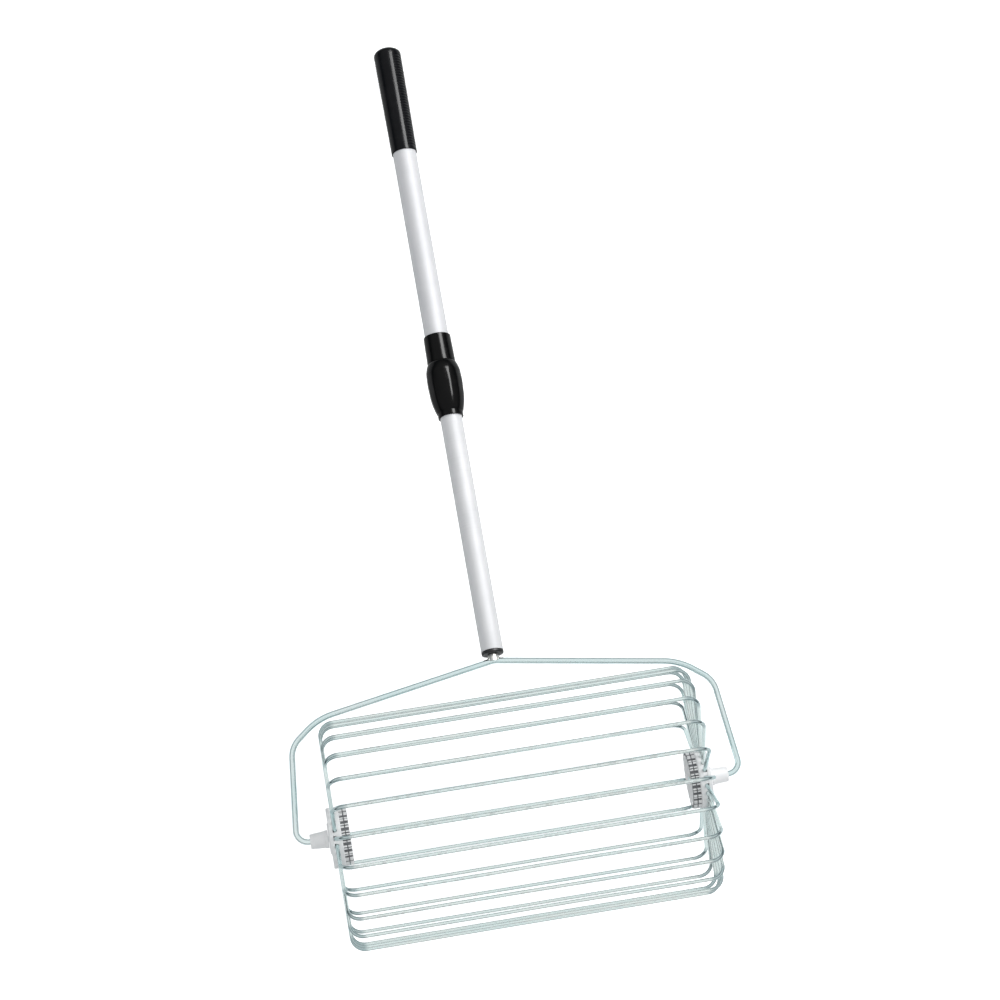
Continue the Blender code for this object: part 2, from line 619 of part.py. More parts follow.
def build_lock(handle, nut_frame, gloss, plastic):
    """The twist lock: a sleeve fixed to the upper tube, a split collet and the fluted nut."""
    inner_tube = LOWER_TUBE_RADIUS + GAP
    seat = UPPER_TUBE_RADIUS + GAP
    nose_start = SLEEVE_START - NOSE_LENGTH
    profile = [
        (seat, SLEEVE_END),
        (SLEEVE_TOP_RADIUS - SLEEVE_EDGE, SLEEVE_END),
        (SLEEVE_TOP_RADIUS, SLEEVE_END - SLEEVE_EDGE),
        (SLEEVE_LOW_RADIUS, SLEEVE_START + SLEEVE_FOOT_LENGTH),
        (SLEEVE_LOW_RADIUS - SLEEVE_FOOT_EDGE, SLEEVE_START),
        (NOSE_RADIUS, SLEEVE_START),
        (NOSE_RADIUS, nose_start),
        (inner_tube, nose_start),
        (inner_tube, SLEEVE_START + SLEEVE_STOP_HEIGHT),
        (seat, SLEEVE_START + SLEEVE_STOP_HEIGHT),
    ]
    add_object("lock_sleeve", turn_profile("lock_sleeve", profile), gloss, handle)

    collet_top = nose_start - GAP
    collet_bottom = collet_top - COLLET_LENGTH
    profile = [
        (inner_tube, collet_top),
        (COLLET_RADIUS, collet_top),
        (COLLET_RADIUS, collet_bottom + COLLET_TAPER_LENGTH),
        (COLLET_TIP_RADIUS, collet_bottom),
        (inner_tube, collet_bottom),
    ]
    collet = add_object("lock_collet", turn_profile("lock_collet", profile), plastic, handle)
    bm = bmesh.new()
    for index in range(COLLET_SLITS):
        turned = Matrix.Rotation(math.tau * index / COLLET_SLITS, 4, "Z")
        slit = Matrix.Diagonal((COLLET_RADIUS, COLLET_SLIT_WIDTH, COLLET_SLIT_LENGTH + GAP, 1.0))
        middle = (COLLET_RADIUS, 0.0, collet_bottom + 0.5 * (COLLET_SLIT_LENGTH - GAP))
        bmesh.ops.create_cube(bm, size=1.0, matrix=turned @ Matrix.Translation(middle) @ slit)
    cut(collet, mesh_from(bm, "collet_slits"), "collet_slits")

    end = LOCK_START + NUT_LENGTH
    belly_start = LOCK_START + NUT_BELLY_START
    belly_end = LOCK_START + NUT_BELLY_END
    chamber = collet_bottom - GAP
    shoulder = 0.5 * (NUT_NECK_RADIUS + NUT_BELLY_RADIUS) + NUT_SWELL
    outer = [
        (NUT_NECK_RADIUS, end),
        (shoulder, 0.5 * (belly_end + end)),
        (NUT_BELLY_RADIUS - NUT_SWELL, belly_end),
        (NUT_BELLY_RADIUS, 0.5 * (belly_start + belly_end)),
        (NUT_BELLY_RADIUS - NUT_SWELL, belly_start),
    ]
    band_top = LOCK_START + NUT_BAND_LENGTH
    for step in range(1, NUT_TAPER_STEPS + 1):
        share = step / NUT_TAPER_STEPS
        fall = share**2
        radius = (NUT_BELLY_RADIUS - NUT_SWELL) * (1 - fall) + (NUT_BAND_RADIUS + NUT_LIP) * fall
        outer.append((radius, belly_start + (band_top - belly_start) * share))
    outer += [
        (NUT_BAND_RADIUS, band_top - NUT_LIP),
        (NUT_BAND_RADIUS, LOCK_START + NUT_LIP),
        (NUT_BAND_RADIUS - 0.5 * NUT_LIP, LOCK_START),
    ]
    inner = [
        (inner_tube, LOCK_START),
        (inner_tube, chamber),
        (COLLET_TIP_RADIUS + GAP, chamber),
        (COLLET_RADIUS + GAP, chamber + COLLET_TAPER_LENGTH),
        (NOSE_RADIUS + GAP, nose_start - GAP),
        (NOSE_RADIUS + GAP, end),
    ]
    mesh = turn_profile("lock_nut", outer + inner, 4 * NUT_FLUTES)
    nut = add_object("lock_nut", mesh, gloss, nut_frame)
    flute(nut.data, belly_end, band_top)


def flute(mesh, top, bottom):
    """Presses shallow lengthwise flutes into the belly, deepest in its middle."""
    for vert in mesh.vertices:
        radius = math.hypot(vert.co.x, vert.co.y)
        if radius < NUT_NECK_RADIUS or not bottom < vert.co.z < top:
            continue
        share = math.sin(math.pi * (vert.co.z - bottom) / (top - bottom))
        wave = 0.5 + 0.5 * math.cos(NUT_FLUTES * math.atan2(vert.co.y, vert.co.x))
        scale = 1.0 - NUT_FLUTE_DEPTH * share * wave / radius
        vert.co.x *= scale
        vert.co.y *= scale


def build_grip(handle, rubber):
    """The rubber grip: a flared, ribbed sleeve closed by a dome over the tube's end."""
    seat = UPPER_TUBE_RADIUS + GAP
    inside_end = UPPER_TUBE_END + GAP
    ribs_start = GRIP_START + GRIP_RIM_LENGTH
    ribs_end = GRIP_CONTACT - GRIP_RIM_LENGTH
    outer = [(0.0, GRIP_END)]
    for step in range(1, GRIP_DOME_STEPS + 1):
        angle = 0.5 * math.pi * (1 - step / GRIP_DOME_STEPS)
        height = GRIP_CONTACT + GRIP_DOME * math.sin(angle)
        outer.append((GRIP_END_RADIUS * math.cos(angle), height))

    def skin(height):
        share = (height - GRIP_START) / (GRIP_CONTACT - GRIP_START)
        return GRIP_OPEN_RADIUS + (GRIP_END_RADIUS - GRIP_OPEN_RADIUS) * share

    outer.append((skin(ribs_end), ribs_end))
    pitch = (ribs_end - ribs_start) / GRIP_RIB_COUNT
    for index in range(GRIP_RIB_COUNT - 1, -1, -1):
        valley = ribs_start + pitch * (index + 0.5)
        outer.append((skin(valley) - GRIP_RIB_DEPTH, valley))
        crest = ribs_start + pitch * index
        outer.append((skin(crest), crest))
    outer += [(GRIP_OPEN_RADIUS, GRIP_START)]
    inner = [(seat, GRIP_START), (seat, inside_end), (0.0, inside_end)]
    add_object("grip", turn_profile("grip", outer + inner, GRIP_STEPS), rubber, handle)


def main():
    """Builds every piece at rest."""
    clear_scene()
    chrome = make_material("bright_wire", (0.62, 0.66, 0.67), 0.18, 1.0)
    rod = make_material("bright_rod", (0.60, 0.65, 0.66), 0.22, 1.0)
    steel = make_material("zinc_steel", (0.62, 0.62, 0.60), 0.35, 1.0)
    white = make_material("white_plastic", (0.80, 0.80, 0.82), 0.40, 0.0)
    black = make_material("black_plastic", (0.015, 0.015, 0.016), 0.42, 0.0)
    gloss = make_material("gloss_black_plastic", (0.012, 0.012, 0.013), 0.16, 0.0)
    natural = make_material("natural_plastic", (0.62, 0.60, 0.55), 0.45, 0.0)
    aluminium = make_material("satin_aluminium", (0.66, 0.66, 0.68), 0.30, 1.0)
    rubber = make_material("black_rubber", (0.020, 0.020, 0.021), 0.62, 0.0)

    centre = (0.0, CAGE_Y, CAGE_HEIGHT)
    along_pole = (-(math.pi / 2 + POLE_SLOPE), 0.0, 0.0)
    cage = add_empty("cage_axis", centre)
    pole_frame = add_empty("pole_axis", centre, along_pole)
    handle = add_empty("handle_axis", centre, along_pole)
    nut_frame = add_empty("lock_nut_axis", (0.0, 0.0, 0.0))
    nut_frame.parent = handle

    build_wires(cage, chrome)
    for side, name in ((-1, "left"), (1, "right")):
        build_hub(side, name, cage, white, steel)
        build_axle_end(side, name, pole_frame, white, steel)
    build_yoke(pole_frame, steel, rod)
    build_plug(pole_frame, black)
    build_lower_tube(pole_frame, aluminium, black)
    build_upper_tube(handle, aluminium)
    build_lock(handle, nut_frame, gloss, natural)
    build_grip(handle, rubber)


if __name__ == "__main__":
    main()
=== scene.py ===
"""Looks of a tennis ball retriever: a roller cage of bent wires on a telescopic pole with a rubber grip.

Metres, +Z up. The cage turns about a line along X, and the pole runs from the middle of the cage
towards +Y, a little downwards. Every surface is worked out with numpy as a grid of points, and every
finish is a node material that reads Object coordinates.
"""

from __future__ import annotations

import json
import logging
import math
from dataclasses import dataclass
from enum import Enum

import bpy
import numpy as np
from mathutils import Matrix

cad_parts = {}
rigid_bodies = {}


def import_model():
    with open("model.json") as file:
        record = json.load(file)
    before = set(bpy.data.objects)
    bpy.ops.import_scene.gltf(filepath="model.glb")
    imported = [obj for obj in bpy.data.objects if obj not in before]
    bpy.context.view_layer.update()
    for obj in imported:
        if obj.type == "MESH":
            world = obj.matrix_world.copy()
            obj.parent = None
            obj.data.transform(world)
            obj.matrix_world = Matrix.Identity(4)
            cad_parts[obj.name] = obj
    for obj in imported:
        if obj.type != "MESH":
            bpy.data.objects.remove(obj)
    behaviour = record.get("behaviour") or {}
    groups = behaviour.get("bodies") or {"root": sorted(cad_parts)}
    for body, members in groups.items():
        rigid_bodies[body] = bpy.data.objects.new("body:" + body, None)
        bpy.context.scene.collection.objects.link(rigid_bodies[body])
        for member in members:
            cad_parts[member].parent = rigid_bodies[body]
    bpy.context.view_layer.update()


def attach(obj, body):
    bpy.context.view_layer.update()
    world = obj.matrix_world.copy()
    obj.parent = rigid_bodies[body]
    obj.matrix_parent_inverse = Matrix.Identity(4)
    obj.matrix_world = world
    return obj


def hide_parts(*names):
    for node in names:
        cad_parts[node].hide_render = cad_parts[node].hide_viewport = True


LOG = logging.getLogger("retriever")
WELD_DISTANCE = 1e-7
SHARP_ANGLE = 38.0

# Where the cage's axis and the pole lie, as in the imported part
CAGE_CENTRE = np.array([0.0, -0.4814196059353566, 0.15119534135950607])
POLE_SLOPE = 0.11906836069770955
POLE_ALONG = np.array([0.0, math.cos(POLE_SLOPE), -math.sin(POLE_SLOPE)])
POLE_DOWN = np.array([0.0, -math.sin(POLE_SLOPE), -math.cos(POLE_SLOPE)])
ACROSS = np.array([1.0, 0.0, 0.0])

# Sizes that several pieces share
GAP = 0.0003
WIRE_COUNT = 24
WIRE_RADIUS = 0.0025
CAGE_RADIUS = 0.150
CAGE_HALF_LENGTH = 0.245
LEG_INNER_END = 0.0250
HUB_HALF_THICKNESS = 0.008
YOKE_ROD_RADIUS = 0.0041
BORE_RADIUS = YOKE_ROD_RADIUS + GAP


class Body(str, Enum):
    """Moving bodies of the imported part."""

    FRAME = "frame"
    CAGE = "cage"
    HANDLE = "handle"
    LOCK_NUT = "lock_nut"


class Side(Enum):
    """Ends of the cage, with the sign of their X."""

    LEFT = -1
    RIGHT = 1

    @property
    def word(self) -> str:
        """Name of the side as the nodes spell it."""
        return self.name.lower()


class Slot(str, Enum):
    """Material slots of the record."""

    CAGE_WIRE = "cage_wire"
    YOKE_ROD = "yoke_rod"
    ZINC_STEEL = "zinc_steel"
    WHITE_PLASTIC = "white_plastic"
    NATURAL_PLASTIC = "natural_plastic"
    BLACK_PLASTIC = "black_plastic"
    GLOSS_BLACK = "gloss_black"
    TUBE_ALUMINIUM = "tube_aluminium"
    GRIP_RUBBER = "grip_rubber"


@dataclass
class Skin:
    """Points with the quads and triangles that join them into closed surfaces."""

    points: np.ndarray
    quads: np.ndarray
    tris: np.ndarray

    @staticmethod
    def from_grid(grid: np.ndarray, wrap_rows: bool, wrap_columns: bool) -> Skin:
        """Joins neighbours of a grid with quads, welds its seams and poles, and points it outwards.

        Args:
            grid: Points of shape (rows, columns, 3).
            wrap_rows: Whether the last row joins the first.
            wrap_columns: Whether the last column joins the first.

        Returns:
            The closed surface.
        """
        rows, columns = grid.shape[:2]
        number = np.arange(rows * columns).reshape(rows, columns)
        here = number if wrap_rows else number[:-1]
        below = np.roll(number, -1, axis=0) if wrap_rows else number[1:]
        if wrap_columns:
            here_next, below_next = np.roll(here, -1, axis=1), np.roll(below, -1, axis=1)
        else:
            here, here_next = here[:, :-1], here[:, 1:]
            below, below_next = below[:, :-1], below[:, 1:]
        quads = np.stack([here, here_next, below_next, below], axis=-1).reshape(-1, 4)
        return Skin.welded(grid.reshape(-1, 3), quads)

    @staticmethod
    def welded(points: np.ndarray, quads: np.ndarray) -> Skin:
        """Merges points that coincide; quads that lose one corner become triangles.

        Args:
            points: Points of shape (n, 3).
            quads: Corner numbers of shape (m, 4).

        Returns:
            A surface whose enclosed volume is positive.
        """
        key = np.round(points / WELD_DISTANCE).astype(np.int64)
        _, first, number = np.unique(key, axis=0, return_index=True, return_inverse=True)
        merged = points[first]
        quads = number.reshape(-1)[quads]
        lost = quads == np.roll(quads, -1, axis=1)
        left = np.array([[1, 2, 3], [0, 2, 3], [0, 1, 3], [0, 1, 2]])
        single = lost.sum(axis=1) == 1
        tris = np.take_along_axis(quads[single], left[np.argmax(lost[single], axis=1)], axis=1)
        whole = quads[lost.sum(axis=1) == 0]
        skin = Skin(merged, whole, tris.reshape(-1, 3))
        if skin.volume() < 0.0:
            skin = Skin(merged, whole[:, ::-1], skin.tris[:, ::-1])
        return skin

    def volume(self) -> float:
        """Enclosed volume: a sixth of the sum of each triangle's triple product with the origin."""
        fans = np.concatenate([self.quads[:, [0, 1, 2]], self.quads[:, [0, 2, 3]], self.tris])
        middle = self.points - self.points.mean(axis=0)
        return float(np.linalg.det(middle[fans]).sum() / 6.0)

    def placed(self, origin: np.ndarray, x: np.ndarray, y: np.ndarray, z: np.ndarray) -> Skin:
        """Moves the surface from a local frame to the row frame.

        Args:
            origin: Where the local origin goes.
            x: Direction of the local X.
            y: Direction of the local Y.
            z: Direction of the local Z.

        Returns:
            The moved surface, turned outwards again where the frame is a mirrored one.
        """
        points = origin + self.points @ np.stack([x, y, z])
        if np.dot(np.cross(x, y), z) < 0.0:
            return Skin(points, self.quads[:, ::-1], self.tris[:, ::-1])
        return Skin(points, self.quads, self.tris)

    @staticmethod
    def together(skins: list[Skin]) -> Skin:
        """Puts several surfaces into one.

        Args:
            skins: Closed surfaces.

        Returns:
            One skin that holds them all.
        """
        starts = np.cumsum([0] + [len(skin.points) for skin in skins[:-1]])
        return Skin(
            np.concatenate([skin.points for skin in skins]),
            np.concatenate([skin.quads + start for skin, start in zip(skins, starts)]),
            np.concatenate([skin.tris + start for skin, start in zip(skins, starts)]),
        )


def rounded(corners: list[tuple[float, float]], radii: list[float], steps: int = 6) -> np.ndarray:
    """Outline with rounded corners.

    Each corner is replaced by an arc that touches both its edges: the arc starts the radius times the
    tangent of half the turn before the corner. A radius of zero keeps the corner.

    Args:
        corners: Points in the plane; the first and the last are kept as they are.
        radii: One radius for each corner between them.
        steps: Segments of each arc.

    Returns:
        Points of shape (n, 2).
    """
    points = [np.array(corners[:1], float)]
    for index, radius in enumerate(radii, start=1):
        before, corner, after = (np.array(c, float) for c in corners[index - 1 : index + 2])
        arriving = (corner - before) / np.linalg.norm(corner - before)
        leaving = (after - corner) / np.linalg.norm(after - corner)
        turn = math.acos(float(np.clip(arriving @ leaving, -1.0, 1.0)))
        if radius <= 0.0 or turn < 1e-4:
            points.append(corner[None, :])
            continue
        start = corner - arriving * radius * math.tan(turn / 2)
        side = leaving - arriving * (leaving @ arriving)
        side /= np.linalg.norm(side)
        angle = np.linspace(0.0, turn, steps + 1)[:, None]
        points.append(start + radius * (np.sin(angle) * arriving + (1 - np.cos(angle)) * side))
    points.append(np.array(corners[-1:], float))
    return np.concatenate(points)


def spaced(path: np.ndarray, longest: float) -> np.ndarray:
    """Adds points to the long edges of a path.

    Args:
        path: Points of shape (n, k).
        longest: Longest edge that is left.

    Returns:
        The path with more points.
    """
    pieces = []
    for start, end in zip(path[:-1], path[1:]):
        count = max(1, math.ceil(float(np.linalg.norm(end - start)) / longest))
        pieces.append(start + (end - start) * (np.arange(count) / count)[:, None])
    pieces.append(path[-1:])
    return np.concatenate(pieces)


def lathe(outline: np.ndarray, steps: int) -> Skin:
    """Turns an outline of (radius, height) once round Z.

    A point is (radius times cosine, radius times sine, height) of its angle. The outline is closed,
    or starts and ends on the axis.

    Args:
        outline: Points of shape (n, 2).
        steps: Columns round the axis.

    Returns:
        The closed surface.
    """
    angle = np.linspace(0.0, math.tau, steps, endpoint=False)
    radius, height = outline[:, :1], outline[:, 1:]
    grid = np.stack(
        [radius * np.cos(angle), radius * np.sin(angle), np.broadcast_to(height, (len(outline), steps))], axis=-1
    )
    on_axis = outline[0, 0] < WELD_DISTANCE and outline[-1, 0] < WELD_DISTANCE
    return Skin.from_grid(grid, wrap_rows=not on_axis, wrap_columns=True)


def carry_round(path: np.ndarray, radius: np.ndarray, plane_normal: np.ndarray, sides: int) -> Skin:
    """Carries a round section along a path that lies near one plane.

    The section's two directions are the plane's normal and the cross product of that normal with the
    path's tangent. A point is the path's point plus the radius times cosine and sine along them.

    Args:
        path: Points of shape (n, 3).
        radius: Radius at each point; the ends taper to zero.
        plane_normal: Unit normal of the path's plane.
        sides: Columns round the section.

    Returns:
        The closed rod.
    """
    tangent = np.gradient(path, axis=0)
    tangent /= np.linalg.norm(tangent, axis=1)[:, None]
    inward = np.cross(plane_normal, tangent)
    inward /= np.linalg.norm(inward, axis=1)[:, None]
    outward = np.cross(tangent, inward)
    angle = np.linspace(0.0, math.tau, sides, endpoint=False)[None, :, None]
    grid = path[:, None, :] + radius[:, None, None] * (
        np.cos(angle) * inward[:, None, :] + np.sin(angle) * outward[:, None, :]
    )
    return Skin.from_grid(grid, wrap_rows=False, wrap_columns=True)


def ended_rod(path: np.ndarray, radius: float, chamfer: float, plane_normal: np.ndarray, sides: int) -> Skin:
    """Rod with flat ends and rounded edges.

    Three rings are added at both ends: one on the axis, one the chamfer inside the radius, and one the
    chamfer back from the end at the full radius.

    Args:
        path: Points of shape (n, 3).
        radius: Radius of the rod.
        chamfer: Size of the edge's rounding.
        plane_normal: Unit normal of the path's plane.
        sides: Columns round the section.

    Returns:
        The closed rod.
    """

    def end(first: np.ndarray, second: np.ndarray) -> tuple[np.ndarray, np.ndarray]:
        """Rings of one end, from the tip inwards."""
        inwards = (second - first) / np.linalg.norm(second - first)
        angle = np.linspace(0.0, math.pi / 2, 4)
        depths = np.concatenate([[0.0], chamfer * (1 - np.cos(angle))])
        radii = np.concatenate([[0.0], radius - chamfer + chamfer * np.sin(angle)])
        return first + inwards * depths[:, None], radii

    head, head_radii = end(path[0], path[1])
    tail, tail_radii = end(path[-1], path[-2])
    whole = np.concatenate([head, path[1:-1], tail[::-1]])
    radii = np.concatenate([head_radii, np.full(len(path) - 2, radius), tail_radii[::-1]])
    tangent_path = whole.copy()
    tangent_path[0] -= (path[1] - path[0]) * 1e-6
    tangent_path[-1] -= (path[-2] - path[-1]) * 1e-6
    return carry_round(tangent_path, radii, plane_normal, sides)


def add_piece(name: str, skin: Skin, material: bpy.types.Material, body: Body, nodes: list[str]) -> bpy.types.Object:
    """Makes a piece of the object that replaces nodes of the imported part.

    Args:
        name: Name of the piece.
        skin: Its surface in the row frame.
        material: Its finish.
        body: The body that it rides on.
        nodes: The nodes that it stands for.

    Returns:
        The new object.
    """
    mesh = bpy.data.meshes.new(name)
    mesh.from_pydata(skin.points.tolist(), [], skin.quads.tolist() + skin.tris.tolist())
    mesh.validate()
    mesh.shade_smooth()
    mesh.set_sharp_from_angle(angle=math.radians(SHARP_ANGLE))
    mesh.materials.append(material)
    piece = bpy.data.objects.new(name, mesh)
    bpy.context.scene.collection.objects.link(piece)
    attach(piece, body.value)
    if nodes:
        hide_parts(*nodes)
    return piece


def on_pole(skin: Skin) -> Skin:
    """Places a surface whose Z runs along the pole, from the cage's axis."""
    return skin.placed(CAGE_CENTRE, ACROSS, POLE_DOWN, POLE_ALONG)


def on_hub(skin: Skin, side: Side) -> Skin:
    """Places a surface whose Z points outwards at one end of the cage, from the plane of the legs."""
    outwards = ACROSS * side.value
    origin = CAGE_CENTRE + outwards * CAGE_HALF_LENGTH
    return skin.placed(origin, np.array([0.0, 0.0, -float(side.value)]), np.array([0.0, 1.0, 0.0]), outwards)


Operand = "Socket | float"


class Socket:
    """A value in a node graph. Operators on it add Math nodes."""

    def __init__(self, graph: Graph, output: bpy.types.NodeSocket) -> None:
        """Keeps the graph and the output."""
        self.graph = graph
        self.output = output

    def _math(self, operation: str, *operands: Operand) -> Socket:
        """Adds a Math node.

        Args:
            operation: Blender's name of the operation.
            operands: Its values.

        Returns:
            The node's value.
        """
        inputs = dict(enumerate(operands))
        return self.graph.node("ShaderNodeMath", {"operation": operation}, inputs)

    def __add__(self, other: Operand) -> Socket:
        """Sum."""
        return self._math("ADD", self, other)

    def __radd__(self, other: Operand) -> Socket:
        """Sum with a number first."""
        return self._math("ADD", other, self)

    def __sub__(self, other: Operand) -> Socket:
        """Difference."""
        return self._math("SUBTRACT", self, other)

    def __rsub__(self, other: Operand) -> Socket:
        """Difference with a number first."""
        return self._math("SUBTRACT", other, self)

    def __mul__(self, other: Operand) -> Socket:
        """Product."""
        return self._math("MULTIPLY", self, other)

    def __rmul__(self, other: Operand) -> Socket:
        """Product with a number first."""
        return self._math("MULTIPLY", other, self)

    def __truediv__(self, other: Operand) -> Socket:
        """Quotient."""
        return self._math("DIVIDE", self, other)

    def __pow__(self, other: Operand) -> Socket:
        """Power."""
        return self._math("POWER", self, other)

    def largest(self, other: Operand) -> Socket:
        """Larger of two values."""
        return self._math("MAXIMUM", self, other)

    def smallest(self, other: Operand) -> Socket:
        """Smaller of two values."""
        return self._math("MINIMUM", self, other)

    def sine(self) -> Socket:
        """Sine of the value in radians."""
        return self._math("SINE", self)

    def absolute(self) -> Socket:
        """Value without its sign."""
        return self._math("ABSOLUTE", self)

    def ramp(self, low: float, high: float, out_low: float = 0.0, out_high: float = 1.0) -> Socket:
        """Smooth step between two values.

        Args:
            low: Where the step starts.
            high: Where it ends.
            out_low: Result below the step.
            out_high: Result above it.

        Returns:
            The mapped value.
        """
        settings = {"interpolation_type": "SMOOTHSTEP"}
        inputs = {"Value": self, "From Min": low, "From Max": high, "To Min": out_low, "To Max": out_high}
        return self.graph.node("ShaderNodeMapRange", settings, inputs)


class Graph:
    """Node graph of one material with its Principled shader."""

    def __init__(self, name: str) -> None:
        """Starts a material of that name."""
        self.material = bpy.data.materials.new(name)
        self.material.use_nodes = True
        self.tree = self.material.node_tree
        self.shader = self.tree.nodes["Principled BSDF"]

    def node(self, kind: str, settings: dict | None = None, inputs: dict | None = None, output: int | str = 0) -> Socket:
        """Adds any node.

        Args:
            kind: Blender's type of the node.
            settings: Properties, which are set first.
            inputs: Values or links by socket name or number.
            output: Name or number of the output that is returned.

        Returns:
            The chosen output.
        """
        made = self.tree.nodes.new(kind)
        for key, value in (settings or {}).items():
            setattr(made, key, value)
        for key, value in (inputs or {}).items():
            self.feed(made.inputs[key], value)
        return Socket(self, made.outputs[output])

    def feed(self, target: bpy.types.NodeSocket, value: object) -> None:
        """Links a socket, or sets its value.

        Args:
            target: The input.
            value: A Socket, a number, a colour or a vector.
        """
        if isinstance(value, Socket):
            self.tree.links.new(value.output, target)
        elif isinstance(value, tuple) and target.type == "RGBA" and len(value) == 3:
            target.default_value = (*value, 1.0)
        else:
            target.default_value = value

    def place(self, origin: tuple[float, float, float] = (0.0, 0.0, 0.0), turn_x: float = 0.0) -> Socket:
        """Object coordinates from an origin, turned about X.

        Args:
            origin: Point that becomes zero.
            turn_x: Angle about X, after the move.

        Returns:
            The coordinates.
        """
        coordinates = self.node("ShaderNodeTexCoord", output="Object")
        moved = self.node(
            "ShaderNodeVectorMath", {"operation": "SUBTRACT"}, {0: coordinates, 1: tuple(origin)}, "Vector"
        )
        if turn_x == 0.0:
            return moved
        return self.node("ShaderNodeMapping", {"vector_type": "POINT"}, {"Vector": moved, "Rotation": (turn_x, 0.0, 0.0)})

    def stretched(self, coordinates: Socket, scale: tuple[float, float, float]) -> Socket:
        """Coordinates scaled along each axis."""
        return self.node("ShaderNodeVectorMath", {"operation": "MULTIPLY"}, {0: coordinates, 1: scale}, "Vector")

    def parts(self, coordinates: Socket) -> tuple[Socket, Socket, Socket]:
        """X, Y and Z of coordinates."""
        split = self.node("ShaderNodeSeparateXYZ", None, {0: coordinates}, "X")
        made = split.output.node
        return split, Socket(self, made.outputs["Y"]), Socket(self, made.outputs["Z"])

    def noise(self, coordinates: Socket, scale: float, detail: float = 3.0, rough: float = 0.55) -> Socket:
        """Noise from 0 to 1.

        Args:
            coordinates: Where it is read.
            scale: Features per metre.
            detail: Octaves.
            rough: Weight of each finer octave.

        Returns:
            The noise.
        """
        inputs = {"Vector": coordinates, "Scale": scale, "Detail": detail, "Roughness": rough}
        return self.node("ShaderNodeTexNoise", {"noise_dimensions": "3D"}, inputs, "Fac")

    def specks(self, coordinates: Socket, scale: float, size: float) -> Socket:
        """Small round spots: one in cells whose distance to their point is under a size."""
        inputs = {"Vector": coordinates, "Scale": scale}
        distance = self.node("ShaderNodeTexVoronoi", {"feature": "F1"}, inputs, "Distance")
        return distance.ramp(size * 0.5, size, 1.0, 0.0)

    def blend(self, share: Operand, first: object, second: object) -> Socket:
        """Mixes two colours.

        Args:
            share: Part of the second colour.
            first: A colour.
            second: Another colour.

        Returns:
            The mixed colour.
        """
        settings = {"data_type": "RGBA"}
        made = self.tree.nodes.new("ShaderNodeMix")
        made.data_type = settings["data_type"]
        self.feed(made.inputs[0], share)
        self.feed(made.inputs[6], first)
        self.feed(made.inputs[7], second)
        return Socket(self, made.outputs[2])

    def bump(self, height: Socket, depth: float, before: Socket | None = None) -> Socket:
        """Bump normal.

        Args:
            height: Height from 0 to 1.
            depth: Metres that 1 stands for.
            before: A normal to start from.

        Returns:
            The normal.
        """
        inputs = {"Height": height, "Distance": depth, "Strength": 1.0}
        if before is not None:
            inputs["Normal"] = before
        return self.node("ShaderNodeBump", None, inputs, "Normal")

    def finish(self, **values: object) -> bpy.types.Material:
        """Feeds the Principled shader.

        Args:
            values: Socket names with underscores for spaces, and what they get.

        Returns:
            The material.
        """
        for name, value in values.items():
            self.feed(self.shader.inputs[name.replace("_", " ")], value)
        return self.material


@dataclass(frozen=True)
class Plating:
    """Bright plated steel wire: drawn lines, a faint tint that drifts, pits, dulled scuffs and, on the wires, a
    painted dark reflection on the bends.
    """

    name: str
    colour: tuple[float, float, float]
    tint: tuple[float, float, float]
    edge: tuple[float, float, float]
    roughness: float
    scuff_from: float
    scuff_to: float
    # Share of the painted dark reflection on the bends.
    painted_bend_reflection: float = 0.0

    def build(self) -> bpy.types.Material:
        """Makes the material. The scuffs lie between two distances from the cage's axis, and a painted dark reflection
        darkens the wires' bends where both X and that distance are large."""
        graph = Graph(self.name)
        place = graph.place(tuple(CAGE_CENTRE))
        x, y, z = graph.parts(place)
        drift = graph.noise(graph.stretched(place, (0.5, 1.0, 1.0)), 16.0, 2.0)
        lines = graph.noise(graph.stretched(place, (0.06, 1.0, 1.0)), 900.0, 2.0)
        cloud = graph.noise(place, 240.0, 4.0, 0.6)
        pits = graph.specks(place, 420.0, 0.12) * cloud.ramp(0.52, 0.70)
        reach = (y * y + z * z) ** 0.5
        scuffed = reach.ramp(self.scuff_from, self.scuff_to) * graph.noise(place, 95.0, 5.0, 0.7).ramp(0.46, 0.62)
        colour = graph.blend(drift.ramp(0.35, 0.68), self.colour, self.tint)
        worn = graph.blend(scuffed * 0.45, colour, (0.50, 0.53, 0.53))
        # Painted dark reflection: the bends' base colour is blended towards dark teal where X and the distance from
        # the axis are both large.
        painted_bend_mask = x.absolute().ramp(0.2230, 0.2320) * reach.ramp(0.1280, 0.1380) * self.painted_bend_reflection
        with_painted_bends = graph.blend(painted_bend_mask, worn, (0.12, 0.22, 0.25))
        pitted_with_painted_bends = graph.blend(pits * 0.3, with_painted_bends, (0.30, 0.32, 0.31))
        roughness = self.roughness + cloud * 0.03 + scuffed * 0.10 + pits * 0.15
        normal = graph.bump(lines + cloud * 0.15 - pits * 0.1, 0.000002)
        return graph.finish(
            Base_Color=pitted_with_painted_bends, Roughness=roughness, Metallic=1.0, Specular_Tint=self.edge, Normal=normal
        )


@dataclass(frozen=True)
class ZincPlate:
    """Zinc plated hardware: grey metal with a fine spangle and rubbed edges."""

    name: str
    colour: tuple[float, float, float] = (0.56, 0.57, 0.57)
    tint: tuple[float, float, float] = (0.64, 0.63, 0.58)

    def build(self) -> bpy.types.Material:
        """Makes the material."""
        graph = Graph(self.name)
        place = graph.place()
        cells = graph.node(
            "ShaderNodeTexVoronoi", {"feature": "SMOOTH_F1"}, {"Vector": place, "Scale": 600.0}, "Distance"
        )
        cloud = graph.noise(place, 160.0, 4.0)
        colour = graph.blend(cloud.ramp(0.35, 0.65), self.colour, self.tint)
        roughness = 0.28 + cells * 0.18 + cloud * 0.08
        return graph.finish(
            Base_Color=colour, Roughness=roughness, Metallic=1.0, Normal=graph.bump(cells + cloud, 0.00003)
        )


